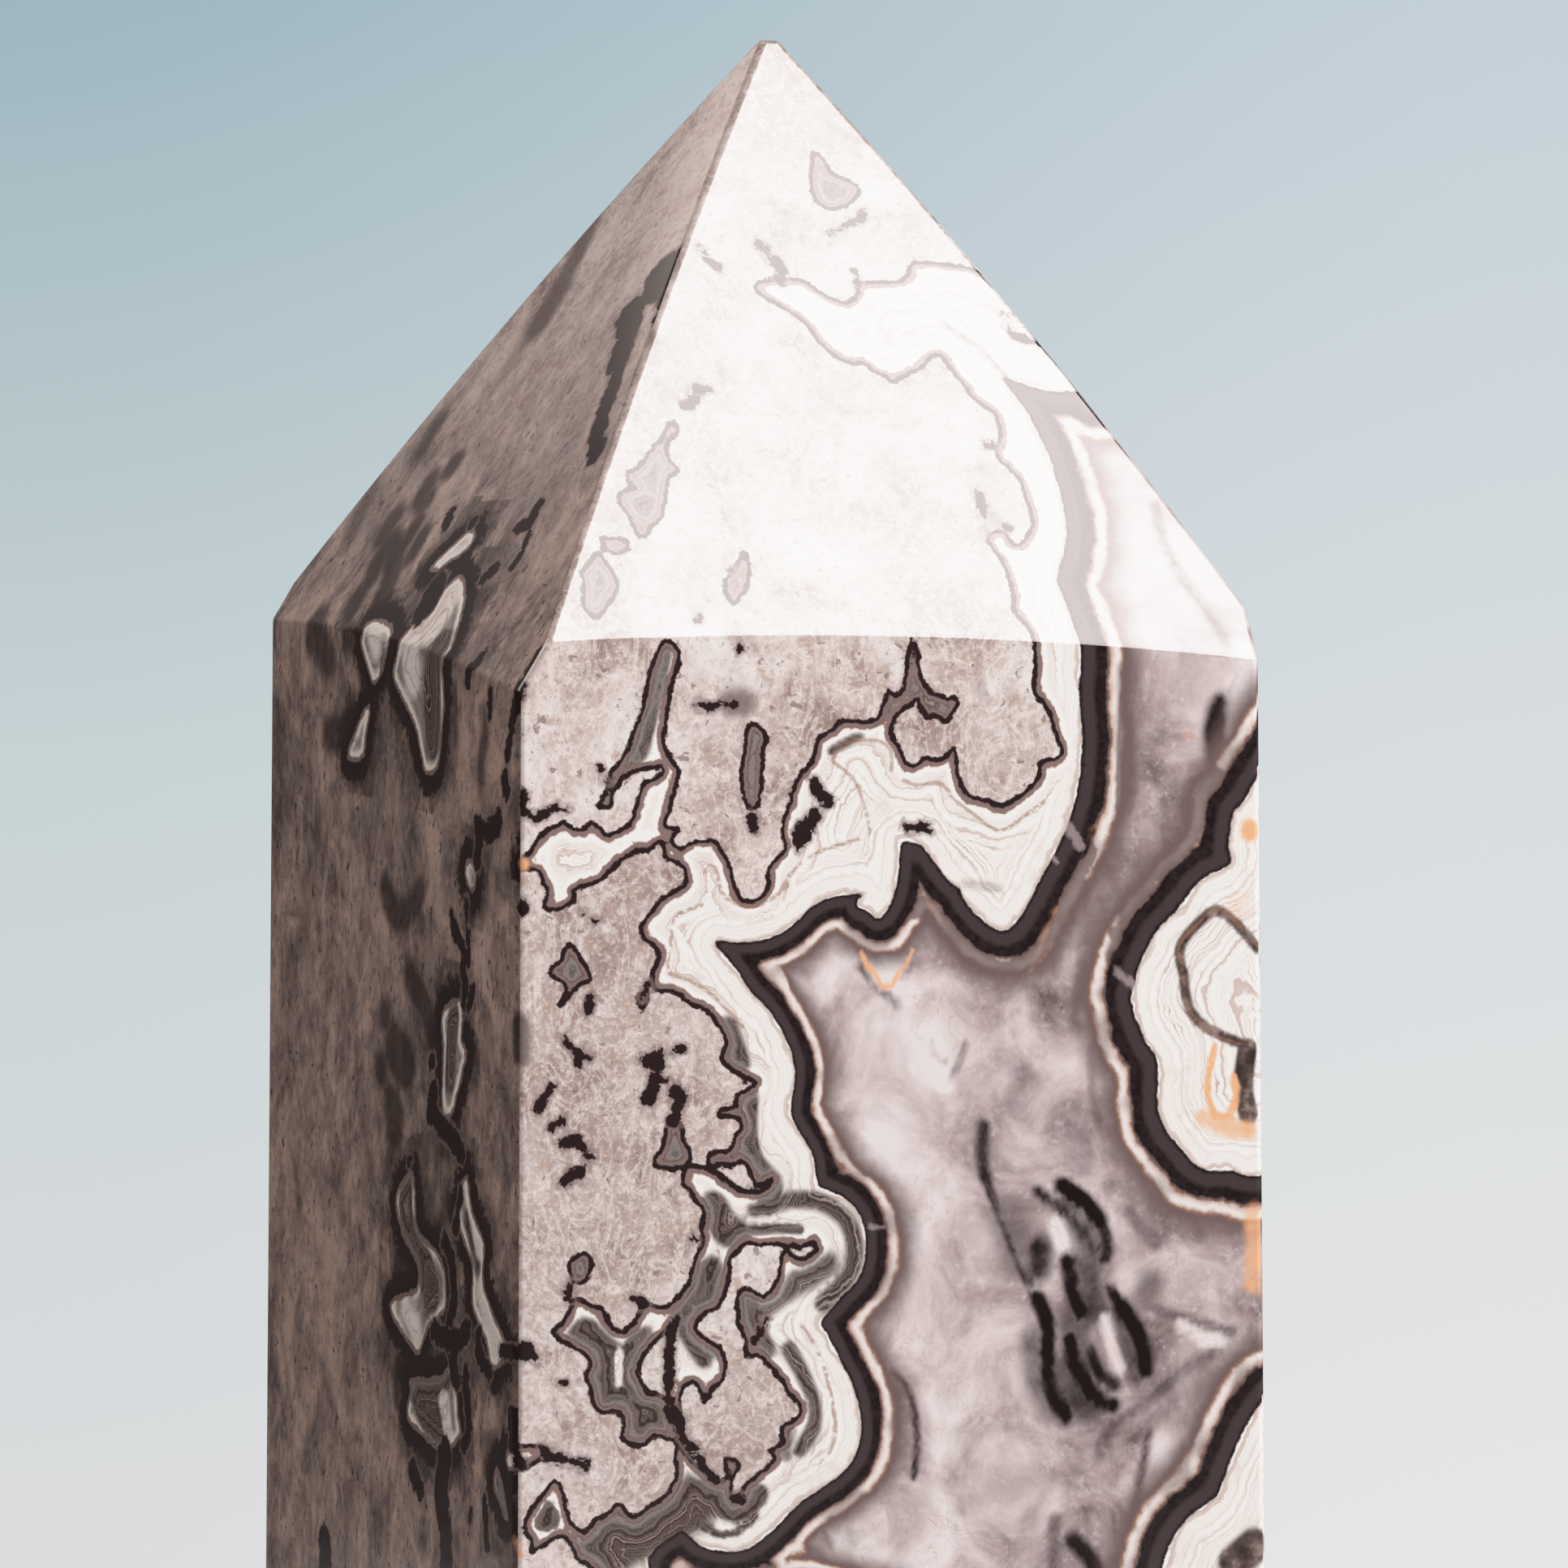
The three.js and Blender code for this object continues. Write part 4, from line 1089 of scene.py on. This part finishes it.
def stone_colour(weave, place):
    """The whole pattern, from the distances that the mesh carries."""
    def carried(name):
        vector = weave.node("ShaderNodeAttribute", attribute_name=name).outputs["Vector"]
        return weave.node("ShaderNodeSeparateXYZ", {0: vector}).outputs

    vein, band, ink = carried("marks")
    thread, stain, rust = carried("tints")
    cloud, pale, dim = carried("shades")
    fault = weave.node("ShaderNodeAttribute", attribute_name="faults").outputs["Fac"]
    slow = weave.sum(weave.noise(place, 0.9, 3), -0.5)
    fine = weave.sum(weave.noise(place, 3.0, 4, 0.65), -0.5)
    vein = weave.sum(vein, weave.times(fine, 0.28))
    band = weave.sum(band, weave.times(fine, 0.16))
    ragged = weave.sum(weave.noise(place, 1.9, 4, 0.65, 0.4), -0.47)
    ink = weave.sum(ink, weave.times(ragged, 0.9))

    colour = matrix_colour(weave, place, cloud, dim)
    cream, grey = vein_colour(weave, place, vein, band, stain, slow)
    cream = line_colour(weave, cream, vein, slow)
    filled = weave.times(weave.between(stain, 0.2, 0.6), weave.between(vein, 0.1, 0.25))
    cream = weave.mix(weave.times(filled, 0.8), cream, grey)
    outlined = weave.sum(weave.sum(vein, weave.times(ragged, 0.3)), weave.times(dim, 0.08))
    colour = weave.mix(weave.between(outlined, -0.13, -0.06), colour, cream)
    quartz = quartz_colour(weave, place, cloud, pale)
    smoky = weave.sum(weave.times(stain, weave.sum(weave.times(slow, 0.8), 1.1)), weave.times(fine, 0.1))
    smudge = weave.ramp(smoky, [(0.6, SMUDGE), (1.0, BLACK)])
    quartz = weave.mix(weave.between(smoky, 0.05, 0.95), quartz, smudge)
    quartz = band_colour(weave, place, band, slow, quartz, cloud)
    faulted = weave.between(weave.sum(fault, weave.times(fine, 1.2)), 0.4, 1.0)
    quartz = weave.mix(weave.times(faulted, 0.6), quartz, QUARTZ_GREY)
    # Stains in the matrix, blacker on the dim sides as painted shade
    in_matrix = weave.times(weave.between(smoky, 0.1, 0.9), weave.between(vein, 0.0, -0.1))
    colour = weave.mix(weave.times(in_matrix, 0.85), colour, weave.mix(dim, SMOKE, STAIN))
    hazy = weave.between(weave.sum(vein, weave.times(weave.sum(weave.noise(place, 0.7, 3, 0.6), -0.5), 1.6)), -0.75, 0.0)
    hazy = weave.times(weave.times(hazy, dim), weave.between(vein, 0.0, -0.1))
    colour = weave.mix(weave.times(hazy, 0.75), colour, STAIN)
    colour = weave.mix(weave.between(band, -0.04, 0.03), colour, quartz)
    threaded = weave.between(weave.sum(thread, weave.times(fine, 0.12)), -0.11, -0.04)
    colour = weave.mix(weave.times(threaded, 0.6), colour, BROWN)
    rusty = weave.between(weave.sum(rust, weave.times(slow, 0.8)), 0.2, 0.9)
    colour = weave.mix(rusty, colour, ORANGE)
    colour = weave.mix(weave.times(weave.between(ink, -0.24, -0.06), 0.6), colour, LINE_SIDE)
    return weave.mix(weave.between(ink, -0.05, 0.03), colour, LINE)


def jasper():
    """Polished jasper."""
    material = bpy.data.materials.new("jasper")
    material.use_nodes = True
    weave = Weave(material.node_tree)
    coordinates = weave.node("ShaderNodeTexCoord").outputs["Object"]
    place = weave.stretched(coordinates, 1 / MM, 1 / MM, 1 / MM)
    grain = weave.noise(place, 6.0, 4, 0.6)
    bump = weave.node("ShaderNodeBump", {"Height": grain, "Strength": 0.04, "Distance": 0.02 * MM})
    gloss = weave.sum(weave.times(weave.noise(place, 1.5, 3), 0.06), 0.07)
    shader = weave.node("ShaderNodeBsdfPrincipled", {
        "Base Color": stone_colour(weave, place), "Roughness": gloss, "IOR": 1.55, "Normal": bump.outputs[0],
    })
    weave.node("ShaderNodeOutputMaterial", {"Surface": shader.outputs[0]})
    return material


FLOOR_RADIUS = 0.5
FLOOR_COLOUR = shade(226, 225, 224)
FLOOR_GLOW = 0.25


def floor():
    """A plain pale disc, which lights nothing so that the stone's far side stays dim."""
    bpy.ops.mesh.primitive_circle_add(vertices=128, radius=FLOOR_RADIUS, fill_type="NGON")
    disc = bpy.context.active_object
    disc.name = "floor"
    disc.visible_diffuse = False
    material = bpy.data.materials.new("floor")
    material.use_nodes = True
    shader = material.node_tree.nodes["Principled BSDF"]
    shader.inputs["Base Color"].default_value = FLOOR_COLOUR
    shader.inputs["Roughness"].default_value = 0.8
    shader.inputs["Emission Color"].default_value = FLOOR_COLOUR
    shader.inputs["Emission Strength"].default_value = FLOOR_GLOW
    disc.data.materials.append(material)


def room():
    """A dim room that is brighter overhead, behind a soft pale backdrop."""
    world = bpy.data.worlds.new("room")
    bpy.context.scene.world = world
    world.use_nodes = True
    weave = Weave(world.node_tree)
    direction = weave.node("ShaderNodeTexCoord").outputs["Generated"]
    height = weave.node("ShaderNodeSeparateXYZ", {0: direction}).outputs["Z"]
    right, _ = camera_axes()
    across = weave.node("ShaderNodeVectorMath", {0: direction, 1: right.tolist()}, operation="DOT_PRODUCT")
    left_side = weave.ramp(height, [
        (-0.068, shade(220, 221, 223)), (0.0, shade(200, 211, 213)), (0.068, shade(158, 182, 192))], -0.1, 0.1)
    right_side = weave.ramp(height, [
        (-0.068, shade(234, 234, 234)), (0.0, shade(217, 222, 225)), (0.068, shade(196, 209, 217))], -0.1, 0.1)
    across_view = weave.between(across.outputs["Value"], -0.075, 0.075)
    backdrop = weave.mix(across_view, left_side, right_side)
    glow = weave.ramp(height, [
        (0.0, [0.05, 0.043, 0.04, 1]), (0.2, [0.08, 0.07, 0.066, 1]), (0.5, [0.26, 0.235, 0.225, 1]),
        (1.0, [0.34, 0.31, 0.3, 1])], -1, 1)
    seen = weave.node("ShaderNodeLightPath").outputs["Is Camera Ray"]
    background = weave.node("ShaderNodeBackground", {"Color": weave.mix(seen, glow, backdrop)})
    weave.node("ShaderNodeOutputWorld", {"Surface": background.outputs[0]})


TIP = np.array([0.0, 0.0, 0.09])
PINKISH = (1.0, 0.92, 0.91)
WARM = (1.0, 0.92, 0.87)
ROSY = (1.0, 0.84, 0.76)


def softbox(name, turn, lift, distance, width, brightness, tint=(1, 1, 1)):
    """A square area light, seen from the tip in a direction, that no camera sees."""
    light = bpy.data.lights.new(name, "AREA")
    light.size = width
    light.color = tint
    light.energy = brightness * math.pi * width ** 2
    lamp = bpy.data.objects.new(name, light)
    lamp.location = TIP + distance * towards(turn, lift)
    lamp.rotation_euler = Vector(-towards(turn, lift)).to_track_quat("-Z", "Y").to_euler()
    lamp.visible_camera = False
    bpy.context.collection.objects.link(lamp)
    return lamp


def lights():
    softbox("key", -44, 3, 1.0, 0.44, 24).visible_glossy = False
    softbox("tip_glow", -45, 42, 1.2, 1.05, 11.6, PINKISH).visible_diffuse = False
    softbox("rim", 97, 31.5, 1.2, 0.35, 1.1, ROSY).visible_diffuse = False
    softbox("left_fill", 188, 36, 1.2, 0.6, 5.4, WARM)
    softbox("back_fill", 100, 30, 1.2, 0.6, 7).visible_glossy = False


def camera():
    right, forward = camera_axes()
    data = bpy.data.cameras.new("camera")
    data.sensor_width = 36
    data.lens = FOCAL_PIXELS / PHOTO_PIXELS * data.sensor_width
    taker = bpy.data.objects.new("camera", data)
    taker.location = camera_place() * MM
    taker.rotation_euler = Vector(forward).to_track_quat("-Z", "Y").to_euler()
    bpy.context.collection.objects.link(taker)
    bpy.context.scene.camera = taker


# Light as the camera meets it and as the picture shows it
SHOULDER = [(0.0, 0.0), (0.3, 0.3), (0.6, 0.6), (0.75, 0.74), (0.95, 0.86), (1.2, 0.92), (1.6, 0.965), (3.0, 1.0)]


def soften_highlights(settings):
    """Bends the brightest tones as a photograph does, so that the polished tip keeps its marks."""
    settings.use_curve_mapping = True
    mapping = settings.curve_mapping
    curve = mapping.curves[3]
    mapping.white_level = [SHOULDER[-1][0]] * 3
    for seen, shown in SHOULDER[1:-1]:
        curve.points.new(seen / SHOULDER[-1][0], shown)
    mapping.update()


def corners(box):
    return [list(corner) for corner in box]


def main():
    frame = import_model()
    scene = bpy.context.scene
    scene.view_settings.view_transform = "Standard"
    soften_highlights(scene.view_settings)
    camera()
    room()
    lights()
    floor()
    tower = jasper_tower(frame["nodes"]["tower"])
    tower.data.materials.append(jasper())
    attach(tower, "root")
    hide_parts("tower")


main()
